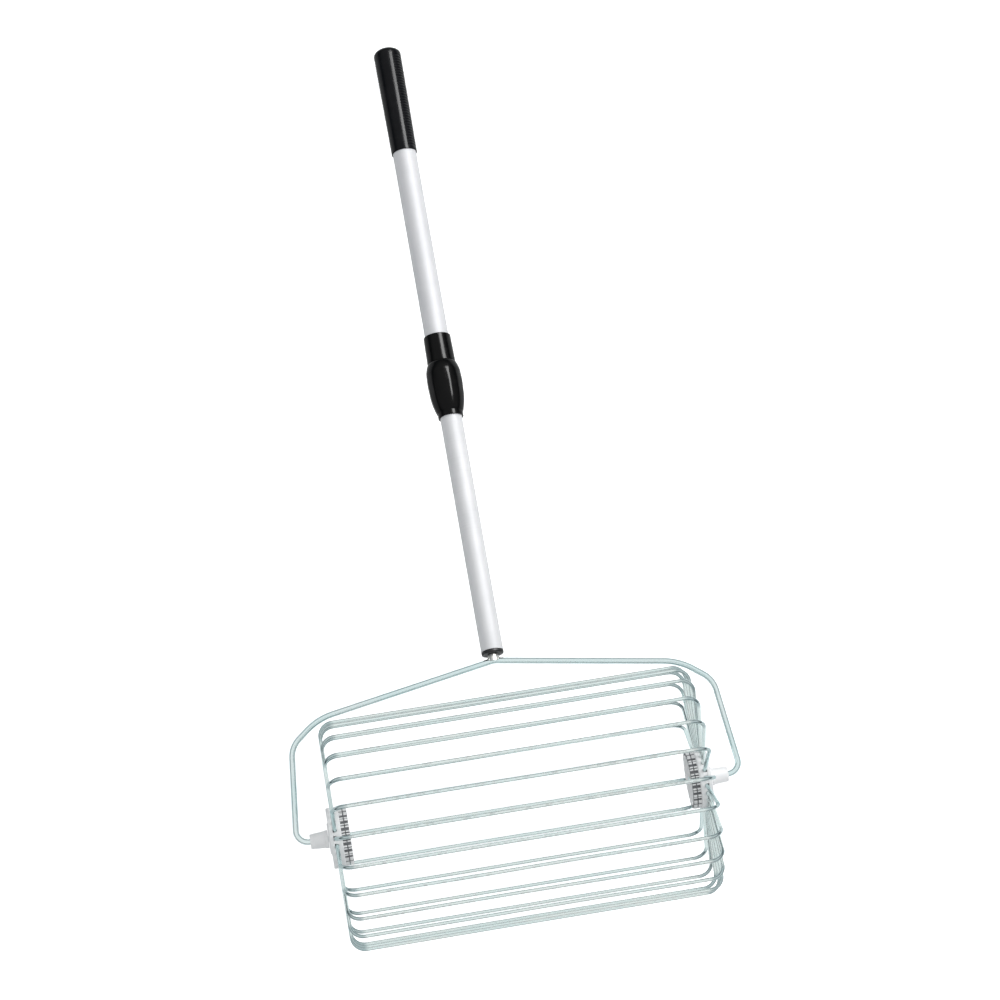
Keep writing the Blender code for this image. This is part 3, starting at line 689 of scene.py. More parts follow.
@dataclass(frozen=True)
class Plastic:
    """Moulded plastic: a slightly mottled body, a pebbled skin and dust where it is rarely touched."""

    name: str
    colour: tuple[float, float, float]
    shade: tuple[float, float, float]
    dust: tuple[float, float, float]
    roughness: float
    dust_share: float
    gloss: float = 0.5
    pebble: float = 0.00003
    # Colour of the painted shade between the ribs of a hub's drum.
    groove: tuple[float, float, float] | None = None

    @staticmethod
    def painted_groove_shade(graph: Graph) -> Socket:
        """Painted shade between the ribs of a hub's drum: one there, by the distance from the cage's axis.

        Args:
            graph: The material's graph.

        Returns:
            The share of the painted shade's colour.
        """
        x, y, z = graph.parts(graph.place(tuple(CAGE_CENTRE)))
        reach = (y * y + z * z) ** 0.5
        outside = reach.ramp(0.0358, 0.0380, 1.0, 0.0) * reach.ramp(0.0325, 0.0335)
        return outside * x.absolute().ramp(0.2364, 0.2370, 1.0, 0.0)

    def build(self) -> bpy.types.Material:
        """Makes the material."""
        graph = Graph(self.name)
        place = graph.place()
        mottle = graph.noise(place, 45.0, 3.0)
        grain = graph.noise(place, 1500.0, 2.0)
        grime = graph.noise(place, 85.0, 6.0, 0.68).ramp(0.52, 0.78)
        scratch = graph.noise(graph.stretched(place, (1.0, 0.08, 1.0)), 700.0, 2.0).ramp(0.66, 0.74)
        colour = graph.blend(mottle.ramp(0.3, 0.7), self.colour, self.shade)
        surface_colour = graph.blend(grime * self.dust_share, colour, self.dust)
        # Painted shade: the gaps between the drum's ribs are darkened by colour.
        if self.groove is not None:
            surface_colour = graph.blend(self.painted_groove_shade(graph), surface_colour, self.groove)
        roughness = self.roughness + grain * 0.05 + grime * 0.14 + scratch * 0.12
        normal = graph.bump(grain + mottle * 2.0 - scratch * 0.6, self.pebble)
        return graph.finish(
            Base_Color=surface_colour, Roughness=roughness, Specular_IOR_Level=self.gloss, Normal=normal
        )


@dataclass(frozen=True)
class Aluminium:
    """Satin tube: drawn lines along the pole, cloudy anodising and fine rings where the lock has slid."""

    name: str
    colour: tuple[float, float, float]
    shade: tuple[float, float, float]
    roughness: float
    rubbed_from: float
    rubbed_to: float

    def build(self) -> bpy.types.Material:
        """Makes the material. The rings lie between two distances along the pole."""
        graph = Graph(self.name)
        place = graph.place(tuple(CAGE_CENTRE), math.pi / 2 + POLE_SLOPE)
        _, _, along = graph.parts(place)
        lines = graph.noise(graph.stretched(place, (1.0, 1.0, 0.012)), 1600.0, 3.0, 0.6)
        broad = graph.noise(graph.stretched(place, (1.0, 1.0, 0.05)), 150.0, 3.0)
        cloud = graph.noise(place, 30.0, 4.0, 0.6)
        scratch = graph.noise(graph.stretched(place, (1.0, 1.0, 0.05)), 420.0, 5.0, 0.7).ramp(0.62, 0.72)
        rubbed = along.ramp(self.rubbed_from, self.rubbed_from + 0.02) * along.ramp(
            self.rubbed_to - 0.02, self.rubbed_to, 1.0, 0.0
        )
        rings = graph.noise(graph.stretched(place, (0.05, 0.05, 1.0)), 900.0, 3.0).ramp(0.5, 0.75) * rubbed
        colour = graph.blend((cloud * 0.6 + broad * 0.4).ramp(0.32, 0.68), self.colour, self.shade)
        marked = graph.blend(scratch * 0.25 + rings * 0.2, colour, (0.50, 0.50, 0.51))
        roughness = self.roughness + lines * 0.08 + cloud * 0.06 - rings * 0.08
        normal = graph.bump(lines + rings - scratch * 0.6, 0.000012)
        return graph.finish(Base_Color=marked, Roughness=roughness, Metallic=0.1, Normal=normal)


@dataclass(frozen=True)
class Rubber:
    """Grip rubber: dark, finely pored, greyed by hands on its high spots."""

    name: str
    colour: tuple[float, float, float] = (0.0018, 0.0021, 0.0034)
    rubbed: tuple[float, float, float] = (0.0042, 0.0046, 0.006)
    dust: tuple[float, float, float] = (0.05, 0.05, 0.048)

    def build(self) -> bpy.types.Material:
        """Makes the material."""
        graph = Graph(self.name)
        place = graph.place(tuple(CAGE_CENTRE), math.pi / 2 + POLE_SLOPE)
        pores = graph.noise(place, 2200.0, 2.0)
        cloud = graph.noise(place, 60.0, 4.0)
        specks = graph.specks(place, 520.0, 0.14) * graph.noise(place, 120.0).ramp(0.52, 0.7)
        colour = graph.blend(cloud.ramp(0.38, 0.66), self.colour, self.rubbed)
        surface_colour = graph.blend(specks * 0.4, colour, self.dust)
        roughness = 0.17 + cloud * 0.08 + pores * 0.04
        return graph.finish(
            Base_Color=surface_colour,
            Roughness=roughness,
            Specular_IOR_Level=0.13,
            Normal=graph.bump(pores + cloud, 0.00001),
        )


@dataclass
class Finishes:
    """Every finish of the object, made once."""

    def __post_init__(self) -> None:
        """Makes the materials."""
        # The wire's last value is the share of the painted dark reflection on its bends.
        self.wire = Plating(
            "plated_wire", (0.80, 0.90, 0.89), (0.85, 0.91, 0.89), (0.70, 0.83, 0.85), 0.10, 0.1510, 0.1524, 0.5
        ).build()
        self.rod = Plating(
            "plated_rod", (0.72, 0.86, 0.865), (0.79, 0.88, 0.88), (0.64, 0.80, 0.83), 0.11, 0.29, 0.40
        ).build()
        self.zinc = ZincPlate("zinc_plate").build()
        self.white = Plastic(
            "white_plastic", (0.90, 0.90, 0.905), (0.87, 0.875, 0.885), (0.68, 0.67, 0.64), 0.44, 0.20, 0.3
        ).build()
        # The hub's drum gets painted shade between its ribs.
        self.ribbed = Plastic(
            "ribbed_hub", (0.90, 0.90, 0.905), (0.87, 0.875, 0.885), (0.68, 0.67, 0.64), 0.44, 0.20, 0.3, groove=(0.20, 0.205, 0.215)
        ).build()
        self.natural = Plastic(
            "natural_plastic", (0.62, 0.60, 0.55), (0.58, 0.56, 0.50), (0.40, 0.38, 0.33), 0.42, 0.30
        ).build()
        self.black = Plastic(
            "black_plastic", (0.008, 0.008, 0.009), (0.014, 0.014, 0.015), (0.06, 0.06, 0.058), 0.38, 0.2, 0.35
        ).build()
        self.gloss = Plastic(
            "gloss_black", (0.001, 0.001, 0.0012), (0.0018, 0.0018, 0.002), (0.02, 0.02, 0.02), 0.15, 0.04, 0.12, 0.000004
        ).build()
        self.lower_tube = Aluminium(
            "satin_tube_inner", (0.71, 0.71, 0.725), (0.66, 0.665, 0.68), 0.58, 0.36, 0.56
        ).build()
        self.upper_tube = Aluminium(
            "satin_tube_outer", (0.68, 0.68, 0.70), (0.63, 0.635, 0.655), 0.56, 0.90, 0.96
        ).build()
        self.rubber = Rubber("grip_rubber").build()


@dataclass
class CageWires:
    """The 24 U-shaped wires of the roller cage."""

    finishes: Finishes
    bend_radius: float = 0.018
    leg_channel: float = 0.0005
    longest_step: float = 0.012
    bend_steps: int = 10
    sides: int = 18
    bow: float = 0.0006
    sway: float = 0.0005
    seed: int = 24

    def centre_line(self) -> np.ndarray:
        """Path of a wire as (x, distance from the axis), with points close enough to bow smoothly."""
        corners = [
            (-CAGE_HALF_LENGTH, LEG_INNER_END),
            (-CAGE_HALF_LENGTH, CAGE_RADIUS),
            (CAGE_HALF_LENGTH, CAGE_RADIUS),
            (CAGE_HALF_LENGTH, LEG_INNER_END),
        ]
        return spaced(rounded(corners, [self.bend_radius] * 2, self.bend_steps), self.longest_step)

    def wire(self, angle: float, random: np.random.Generator) -> Skin:
        """One wire, a little bowed as bent wire is.

        The rod between the bends moves inwards by the bow times a raised cosine along X, and sideways
        by the sway times a sine of one or two waves, so both are zero at the bends.

        Args:
            angle: Place of the wire round the axis.
            random: Draws the sizes of its bow and sway.

        Returns:
            The wire in the row frame.
        """
        flat = self.centre_line()
        share = np.clip(flat[:, 0] / (CAGE_HALF_LENGTH - self.bend_radius), -1.0, 1.0)
        depth = self.bow * random.uniform(0.2, 1.0)
        shift = self.sway * random.uniform(-1.0, 1.0)
        waves = random.uniform(0.8, 1.6)
        inwards = depth * 0.5 * (1 + np.cos(math.pi * share))
        sideways = shift * np.sin(math.pi * waves * share) * (1 - share**2)
        radial = np.array([0.0, -math.sin(angle), math.cos(angle)])
        round_axis = np.array([0.0, -math.cos(angle), -math.sin(angle)])
        path = (
            CAGE_CENTRE
            + flat[:, :1] * ACROSS
            + (flat[:, 1] - inwards)[:, None] * radial
            + sideways[:, None] * round_axis
        )
        return ended_rod(path, WIRE_RADIUS - 0.00003, 0.0004, round_axis, self.sides)

    def build(self) -> None:
        """Makes all the wires, with the floor between two of them."""
        random = np.random.default_rng(self.seed)
        for number in range(1, WIRE_COUNT + 1):
            angle = math.tau * (number - 0.5) / WIRE_COUNT
            skin = self.wire(angle, random)
            add_piece(
                f"cage_wire_{number:02d}", skin, self.finishes.wire, Body.CAGE, [f"wire_{number:02d}"]
            )
        LOG.info("cage wires: %d", WIRE_COUNT)


@dataclass
class Hub:
    """One end of the cage: a flange with the legs' channels, a ribbed drum, a cover and three screws."""

    finishes: Finishes
    side: Side
    radius: float = 0.040
    edge: float = 0.0012
    split: float = WIRE_RADIUS + GAP
    drum_radius: float = 0.0385
    drum_depth: float = 0.011
    drum_wall: float = 0.0045
    rib_height: float = 0.0040
    slot_share: float = 0.85
    boss_radius: float = 0.0105
    boss_height: float = 0.0060
    raise_radius: float = 0.0200
    raise_height: float = 0.0015
    screw_circle: float = 0.0165
    screw_head_radius: float = 0.0032
    screw_head_height: float = 0.0020
    screw_count: int = 3

    def flange(self) -> Skin:
        """Disc with a U-shaped channel for each leg.

        Columns keep a fixed distance from a leg's line inside its channel and share the land between
        two channels evenly. The floor of a channel is minus the square root of its half width squared
        minus that distance squared, and its walls rise to the split with the cover.
        """
        half = WIRE_RADIUS + GAP
        offset = half * np.array([-1, -1, -0.92, -0.72, -0.4, 0, 0.4, 0.72, 0.92, 1, 1.0])
        floor = -np.sqrt(np.maximum(half**2 - offset**2, 0.0))
        floor[[0, -1]] = self.split
        land = np.linspace(0.0, 1.0, 5)[1:-1]
        pitch = math.tau / WIRE_COUNT
        low = -HUB_HALF_THICKNESS
        rim = rounded(
            [(self.boss_radius - 0.001, low), (self.radius, low), (self.radius, low + 0.004)], [self.edge], 4
        )
        deep_radii = np.array([self.radius, 0.0365, 0.033, 0.029, LEG_INNER_END - GAP])
        radii = np.concatenate([rim[:, 0], deep_radii, [LEG_INNER_END - GAP, BORE_RADIUS, BORE_RADIUS, self.boss_radius - 0.001]])
        reach = np.maximum(radii, LEG_INNER_END - GAP)[:, None]
        channel = np.arcsin(offset[None, :] / reach)
        between = channel[:, -1:] + land[None, :] * (pitch - 2 * channel[:, -1:])
        sector = np.concatenate([channel, between], axis=1)
        angle = (sector[:, None, :] + pitch * (0.5 + np.arange(WIRE_COUNT))[None, :, None]).reshape(len(radii), -1)
        top = np.tile(np.concatenate([floor, np.full(len(land), self.split)]), WIRE_COUNT)
        height = np.concatenate(
            [
                np.broadcast_to(rim[:, 1:], (len(rim), len(top))),
                np.broadcast_to(top, (len(deep_radii), len(top))),
                np.full((2, len(top)), self.split),
                np.full((2, len(top)), low - self.boss_height + 0.002),
            ]
        )
        grid = np.stack([radii[:, None] * np.cos(angle), radii[:, None] * np.sin(angle), height], axis=-1)
        return Skin.from_grid(grid, wrap_rows=True, wrap_columns=True)

    def drum(self) -> Skin:
        """Wall with 24 ribs, each split by a fine slot, and a ring groove round the middle.

        The outer radius is the root plus the rib height times a softened square wave of the angle. The
        slot is a smooth step of that wave's cosine near one. It and the groove take away most of the
        rib, and the end of the drum is rounded.
        """
        steps = WIRE_COUNT * 32
        angle = np.linspace(0.0, math.tau, steps, endpoint=False)
        root = self.drum_radius - self.rib_height
        inner = root - self.drum_wall
        low = -HUB_HALF_THICKNESS
        end = low - self.drum_depth
        cosine = np.cos(WIRE_COUNT * angle)
        slot = np.clip((cosine - 0.88) / 0.06, 0.0, 1.0)
        wave = (0.5 + 0.5 * np.tanh(4.0 * (cosine + 0.30))) * (1 - self.slot_share * slot**2 * (3 - 2 * slot))
        groove = 0.5 * (low + end)
        ring = [groove + 0.0008, groove + 0.0005, groove - 0.0005, groove - 0.0008]
        down = np.array([low + GAP, low - 0.003, *ring, end + 0.0022, end + 0.0009, end + 0.0003, end])
        fade = np.array([1.0, 1.0, 1.0, 0.35, 0.35, 1.0, 1.0, 0.93, 0.80, 0.62])
        lip = np.array([0.0] * 8 + [0.0003, 0.0009])
        outer = root + self.rib_height * wave[None, :] * fade[:, None] - lip[:, None]
        inside_down = np.array([end, end + 0.0004, end + 0.0010, low - 0.006, low + GAP])
        inside = np.array([0.0009, 0.0003, 0.0, 0.0, 0.0])
        rows = np.concatenate([outer, np.broadcast_to((inner + inside)[:, None], (5, steps))])
        height = np.concatenate([down, inside_down])[:, None]
        grid = np.stack(
            [rows * np.cos(angle), rows * np.sin(angle), np.broadcast_to(height, rows.shape)], axis=-1
        )
        return Skin.from_grid(grid, wrap_rows=True, wrap_columns=True)

    def boss(self) -> Skin:
        """Short tube round the bore, inside the drum, with a rounded end."""
        low = -HUB_HALF_THICKNESS
        end = low - self.boss_height
        outline = rounded(
            [
                (BORE_RADIUS, low + 0.003),
                (self.boss_radius + 0.0008, low + 0.003),
                (self.boss_radius + 0.0008, low),
                (self.boss_radius, end),
                (BORE_RADIUS, end),
            ],
            [0.0, 0.0, 0.0007],
        )
        return lathe(outline, 64)

    def cover(self) -> Skin:
        """Outer half: a disc with a rounded rim, a shallow groove and a raised ring round the bore."""
        high = HUB_HALF_THICKNESS
        foot = self.split + GAP
        groove = 0.0300
        outline = rounded(
            [
                (BORE_RADIUS, foot),
                (self.radius, foot),
                (self.radius, high),
                (groove + 0.0016, high),
                (groove, high - 0.0006),
                (groove - 0.0016, high),
                (self.raise_radius + 0.0012, high),
                (self.raise_radius, high + self.raise_height),
                (BORE_RADIUS, high + self.raise_height),
                (BORE_RADIUS, foot),
            ],
            [0.0, self.edge, 0.0004, 0.0006, 0.0004, 0.0005, 0.0004, 0.0003],
        )
        return lathe(outline[:-1], 144)

    def screws(self) -> list[Skin]:
        """Pan heads with a cross recess, and their shanks.

        The head's height is a dome, one minus the fourth power of the share of the radius, less the
        recess: its depth times a softened step of the distance to the nearer arm of the cross.
        """
        face = -HUB_HALF_THICKNESS - GAP
        share = np.concatenate([np.linspace(0.0, 0.9, 13), [0.96, 1.0, 1.0]])
        angle = np.linspace(0.0, math.tau, 48, endpoint=False)
        radius = share[:, None] * self.screw_head_radius
        x, y = radius * np.cos(angle), radius * np.sin(angle)
        dome = self.screw_head_height * (1 - 0.45 * share[:, None] ** 4)
        arm, width, depth = 0.0019, 0.0005, 0.0011
        along_x = np.clip((width - np.abs(y)) / 0.0003 + 0.5, 0, 1) * np.clip((arm - np.abs(x)) / 0.0006 + 0.5, 0, 1)
        along_y = np.clip((width - np.abs(x)) / 0.0003 + 0.5, 0, 1) * np.clip((arm - np.abs(y)) / 0.0006 + 0.5, 0, 1)
        height = dome - depth * np.maximum(along_x, along_y)
        height[-1] = 0.0
        crown = np.stack([x, y, face - height], axis=-1)
        shank = 0.0016
        under = np.array([[shank, face], [shank, 0.0045], [0.0, 0.0060]])
        stem = np.stack(
            [under[:, :1] * np.cos(angle), under[:, :1] * np.sin(angle), np.broadcast_to(under[:, 1:], (3, 48))], axis=-1
        )
        head = Skin.from_grid(np.concatenate([crown, stem]), wrap_rows=False, wrap_columns=True)
        made = []
        for number in range(self.screw_count):
            turn = math.tau * (number + 0.5) / self.screw_count
            spin = 0.4 + 1.1 * number
            origin = np.array([self.screw_circle * math.cos(turn), self.screw_circle * math.sin(turn), 0.0])
            x_axis = np.array([math.cos(spin), math.sin(spin), 0.0])
            y_axis = np.array([-math.sin(spin), math.cos(spin), 0.0])
            made.append(head.placed(origin, x_axis, y_axis, np.array([0.0, 0.0, 1.0])))
        return made

    def build(self) -> None:
        """Makes the hub's pieces."""
        word = self.side.word
        body = Skin.together([self.flange(), self.drum(), self.boss()])
        ribbed = self.finishes.ribbed
        add_piece(f"hub_{word}", on_hub(body, self.side), ribbed, Body.CAGE, [f"hub_body_{word}"])
        add_piece(
            f"hub_plate_{word}",
            on_hub(self.cover(), self.side),
            self.finishes.white,
            Body.CAGE,
            [f"hub_cover_{word}"],
        )
        for number, screw in enumerate(self.screws(), start=1):
            add_piece(
                f"cross_screw_{word}_{number}",
                on_hub(screw, self.side),
                self.finishes.zinc,
                Body.CAGE,
                [f"hub_screw_{word}_{number}"],
            )
        LOG.info("hub: %s", word)


@dataclass
class AxleEnd:
    """The tapered bushing outside a hub and the retainer inside it, both on the yoke's end."""

    finishes: Finishes
    side: Side
    bushing_start: float = 0.0098
    bushing_length: float = 0.0240
    bushing_inner: float = 0.0120
    bushing_outer: float = 0.0098
    collar: float = 0.0040
    retainer_top: float = -0.0143
    retainer_radius: float = 0.0090
    retainer_height: float = 0.0030

    def bushing(self) -> Skin:
        """Turned outline: a collar, a shallow neck, a long taper and a rounded nose."""
        start, end = self.bushing_start, self.bushing_start + self.bushing_length
        outline = rounded(
            [
                (BORE_RADIUS, start),
                (self.bushing_inner, start),
                (self.bushing_inner, start + self.collar),
                (self.bushing_inner - 0.0007, start + self.collar + 0.0006),
                (self.bushing_outer, end),
                (BORE_RADIUS + 0.0006, end),
                (BORE_RADIUS, end - 0.0006),
                (BORE_RADIUS, start),
            ],
            [0.0004, 0.0006, 0.0006, 0.0012, 0.0, 0.0],
        )
        return lathe(outline[:-1], 72)

    def retainer(self) -> Skin:
        """Turned outline of a pressed cap with a rolled rim."""
        top, bottom = self.retainer_top, self.retainer_top - self.retainer_height
        outline = rounded(
            [
                (BORE_RADIUS, top),
                (self.retainer_radius, top),
                (self.retainer_radius, top - 0.0012),
                (self.retainer_radius - 0.0012, top - 0.0014),
                (BORE_RADIUS + 0.0020, bottom),
                (BORE_RADIUS, bottom),
            ],
            [0.0003, 0.0005, 0.0003, 0.0005],
        )
        return lathe(outline, 60)

    def build(self) -> None:
        """Makes both pieces."""
        word = self.side.word
        bushing = on_hub(self.bushing(), self.side)
        add_piece(
            f"bushing_{word}", bushing, self.finishes.white, Body.FRAME, [f"axle_bushing_{word}"]
        )
        retainer = on_hub(self.retainer(), self.side)
        add_piece(
            f"retainer_{word}", retainer, self.finishes.zinc, Body.FRAME, [f"axle_retainer_{word}"]
        )
        LOG.info("axle end: %s", word)


@dataclass
class Yoke:
    """The bent rod, the stem welded on its apex with a nut on its stud, and the plug that it holds."""

    finishes: Finishes
    inner_end: float = 0.2262
    foot_x: float = 0.29717
    knee: tuple[float, float] = (0.2841, 0.1311)
    shoulder: tuple[float, float] = (0.2440, 0.1634)
    apex: float = 0.2048
    bends: tuple[float, float, float] = (0.0160, 0.0360, 0.0800)
    apex_bend: float = 0.0200
    bend_steps: int = 14
    sides: int = 28
    stem_radius: float = 0.0070
    stem_end: float = 0.2128
    stud_radius: float = 0.0045
    plug_start: float = 0.2131
    plug_radius: float = 0.0150
    plug_flange: float = 0.0042
    plug_spigot: float = 0.0260
    tube_inner: float = 0.0138
    nut_across: float = 0.0150
    nut_height: float = 0.0070

    def rod(self) -> Skin:
        """Rod along the rounded corners, in the pole's plane."""
        half = [(self.inner_end, 0.0), (self.foot_x, 0.0), self.knee, self.shoulder]
        corners = [(-x, z) for x, z in half] + [(0.0, self.apex)] + half[::-1]
        radii = [*self.bends, self.apex_bend, *self.bends[::-1]]
        flat = spaced(rounded(corners, radii, self.bend_steps), 0.02)
        path = CAGE_CENTRE + flat[:, :1] * ACROSS + flat[:, 1:] * POLE_ALONG
        return ended_rod(path, YOKE_ROD_RADIUS, 0.0007, POLE_DOWN, self.sides)

    def stem(self) -> Skin:
        """Stem and stud. The stem's foot follows the rod: its height is the apex plus the square root
        of the rod's radius squared minus the sideways distance squared, where that is real."""
        angle = np.linspace(0.0, math.tau, 72, endpoint=False)
        plug_end = self.plug_start + self.plug_flange + self.plug_spigot
        top = plug_end + GAP + self.nut_height + 0.0030
        outline = rounded(
            [(0.0, top), (self.stud_radius, top), (self.stud_radius, self.stem_end), (self.stem_radius, self.stem_end),
             (self.stem_radius, self.apex + 0.002)],
            [0.0008, 0.0, 0.0005],
        )
        radius = np.concatenate([outline[:-1, 0], [self.stem_radius, 0.75 * self.stem_radius, 0.4 * self.stem_radius, 0.0]])
        height = np.broadcast_to(np.concatenate([outline[:-1, 1], np.zeros(4)])[:, None], (len(radius), len(angle))).copy()
        sideways = radius[-4:, None] * np.sin(angle)
        rod = YOKE_ROD_RADIUS + GAP
        foot = np.sqrt(np.maximum(rod**2 - sideways**2, 0.0)) - 0.05 * np.abs(radius[-4:, None] * np.cos(angle))
        height[-4:] = self.apex - 0.0012 + foot
        grid = np.stack([radius[:, None] * np.cos(angle), radius[:, None] * np.sin(angle), height], axis=-1)
        return Skin.from_grid(grid, wrap_rows=False, wrap_columns=True)

    def weld(self, sign: int) -> Skin:
        """Bead between the stem and the rod on one side.

        Its path follows the meeting line of the two cylinders, and its radius swells and ripples
        between the ends: a raised cosine times one plus a small sine.

        Args:
            sign: Side of the stem along X.

        Returns:
            The bead.
        """
        share = np.linspace(-1.0, 1.0, 41)
        sideways = 0.95 * YOKE_ROD_RADIUS * np.sin(share * math.pi / 2)
        lift = np.sqrt(np.maximum(YOKE_ROD_RADIUS**2 - sideways**2, 0.0))
        reach = np.sqrt(self.stem_radius**2 - sideways**2)
        slope = 0.1697
        path = np.stack([sign * reach, sideways, self.apex - slope * reach + 0.98 * lift], axis=1)
        ripple = 1 + 0.12 * np.sin(share * 26.0)
        radius = 0.0013 * np.cos(share * math.pi / 2) ** 0.4 * ripple
        radius[[0, -1]] = 0.0
        return carry_round(path, radius, np.array([float(sign), 0.0, 0.0]), 14)

    def plug(self) -> Skin:
        """Flanged plug with the stud's bore, its spigot inside the tube."""
        start, flange_top = self.plug_start, self.plug_start + self.plug_flange
        top, bore, spigot = flange_top + self.plug_spigot, self.stud_radius + GAP, self.tube_inner - GAP
        outline = rounded(
            [
                (bore, start),
                (self.plug_radius, start),
                (self.plug_radius, flange_top),
                (spigot, flange_top),
                (spigot, top - 0.004),
                (spigot - 0.001, top),
                (bore, top),
            ],
            [0.0016, 0.0006, 0.0, 0.001, 0.0004],
        )
        return lathe(outline, 96)

    def nut(self) -> Skin:
        """Hexagon nut: its outer radius is the half width over the cosine of the angle from the nearest
        flat, cut by a cone at both faces."""
        steps = 72
        angle = np.linspace(0.0, math.tau, steps, endpoint=False)
        sector = math.pi / 3
        flat = 0.5 * self.nut_across / np.cos((angle + sector / 2) % sector - sector / 2)
        bottom = self.plug_start + self.plug_flange + self.plug_spigot + GAP
        top = bottom + self.nut_height
        bore = self.stud_radius + GAP
        cone = np.minimum(flat, 0.5 * self.nut_across * 1.02)
        rows = np.stack([np.full(steps, bore), cone, flat, flat, cone, np.full(steps, bore)])
        height = np.array([bottom, bottom, bottom + 0.0007, top - 0.0007, top, top])[:, None]
        grid = np.stack([rows * np.cos(angle), rows * np.sin(angle), np.broadcast_to(height, rows.shape)], axis=-1)
        return Skin.from_grid(grid, wrap_rows=True, wrap_columns=True)

    def build(self) -> None:
        """Makes the yoke's pieces."""
        add_piece("bent_yoke", self.rod(), self.finishes.rod, Body.FRAME, ["yoke"])
        stem = Skin.together([self.stem(), self.weld(-1), self.weld(1)])
        add_piece("welded_stem", on_pole(stem), self.finishes.zinc, Body.FRAME, ["yoke_stem"])
        add_piece("hex_nut", on_pole(self.nut()), self.finishes.zinc, Body.FRAME, ["stem_nut"])
        add_piece("end_plug", on_pole(self.plug()), self.finishes.black, Body.FRAME, ["tube_plug"])
        LOG.info("yoke with its stem, nut and plug")


@dataclass
class Telescope:
    """The two tubes of the pole and the glide plug between them."""

    finishes: Finishes
    lower_radius: float = 0.0150
    lower_wall: float = 0.0012
    lower_start: float = 0.2176
    lower_end: float = 0.7826
    upper_radius: float = 0.0165
    upper_wall: float = 0.0010
    upper_start: float = 0.6420
    upper_end: float = 1.1097
    glide_flange: float = 0.0060
    glide_spigot: float = 0.0200
    glide_bore: float = 0.0090

    @staticmethod
    def tube(outer: float, wall: float, start: float, end: float) -> Skin:
        """Tube with deburred ends.

        Args:
            outer: Outer radius.
            wall: Thickness.
            start: Lower end along the pole.
            end: Upper end.

        Returns:
            The tube.
        """
        inner, burr = outer - wall, 0.0003
        corners = [(inner, start), (outer, start), (outer, end), (inner, end)]
        closed = [((inner + outer) / 2, start), *corners[1:], corners[0], ((inner + outer) / 2, start)]
        outline = rounded(closed, [burr] * 4, 3)
        return lathe(spaced(outline[:-1], 0.04), 120)

    def glide(self) -> Skin:
        """Glide plug on the hidden end of the inner tube."""
        bottom = self.lower_end + GAP
        top = bottom + self.glide_flange
        flange = self.upper_radius - self.upper_wall - GAP
        spigot = self.lower_radius - self.lower_wall - GAP
        outline = rounded(
            [
                (self.glide_bore, bottom - self.glide_spigot),
                (spigot, bottom - self.glide_spigot),
                (spigot, bottom),
                (flange, bottom),
                (flange, top),
                (self.glide_bore, top),
            ],
            [0.0008, 0.0, 0.0002, 0.0012],
        )
        return lathe(outline, 96)

    def build(self) -> None:
        """Makes the tubes and the glide plug."""
        lower = self.tube(self.lower_radius, self.lower_wall, self.lower_start, self.lower_end)
        upper = self.tube(self.upper_radius, self.upper_wall, self.upper_start, self.upper_end)
        add_piece("inner_pole", on_pole(lower), self.finishes.lower_tube, Body.FRAME, ["lower_tube"])
        add_piece("outer_pole", on_pole(upper), self.finishes.upper_tube, Body.HANDLE, ["upper_tube"])
        add_piece("glide", on_pole(self.glide()), self.finishes.black, Body.FRAME, ["glide_plug"])
        LOG.info("telescope tubes")


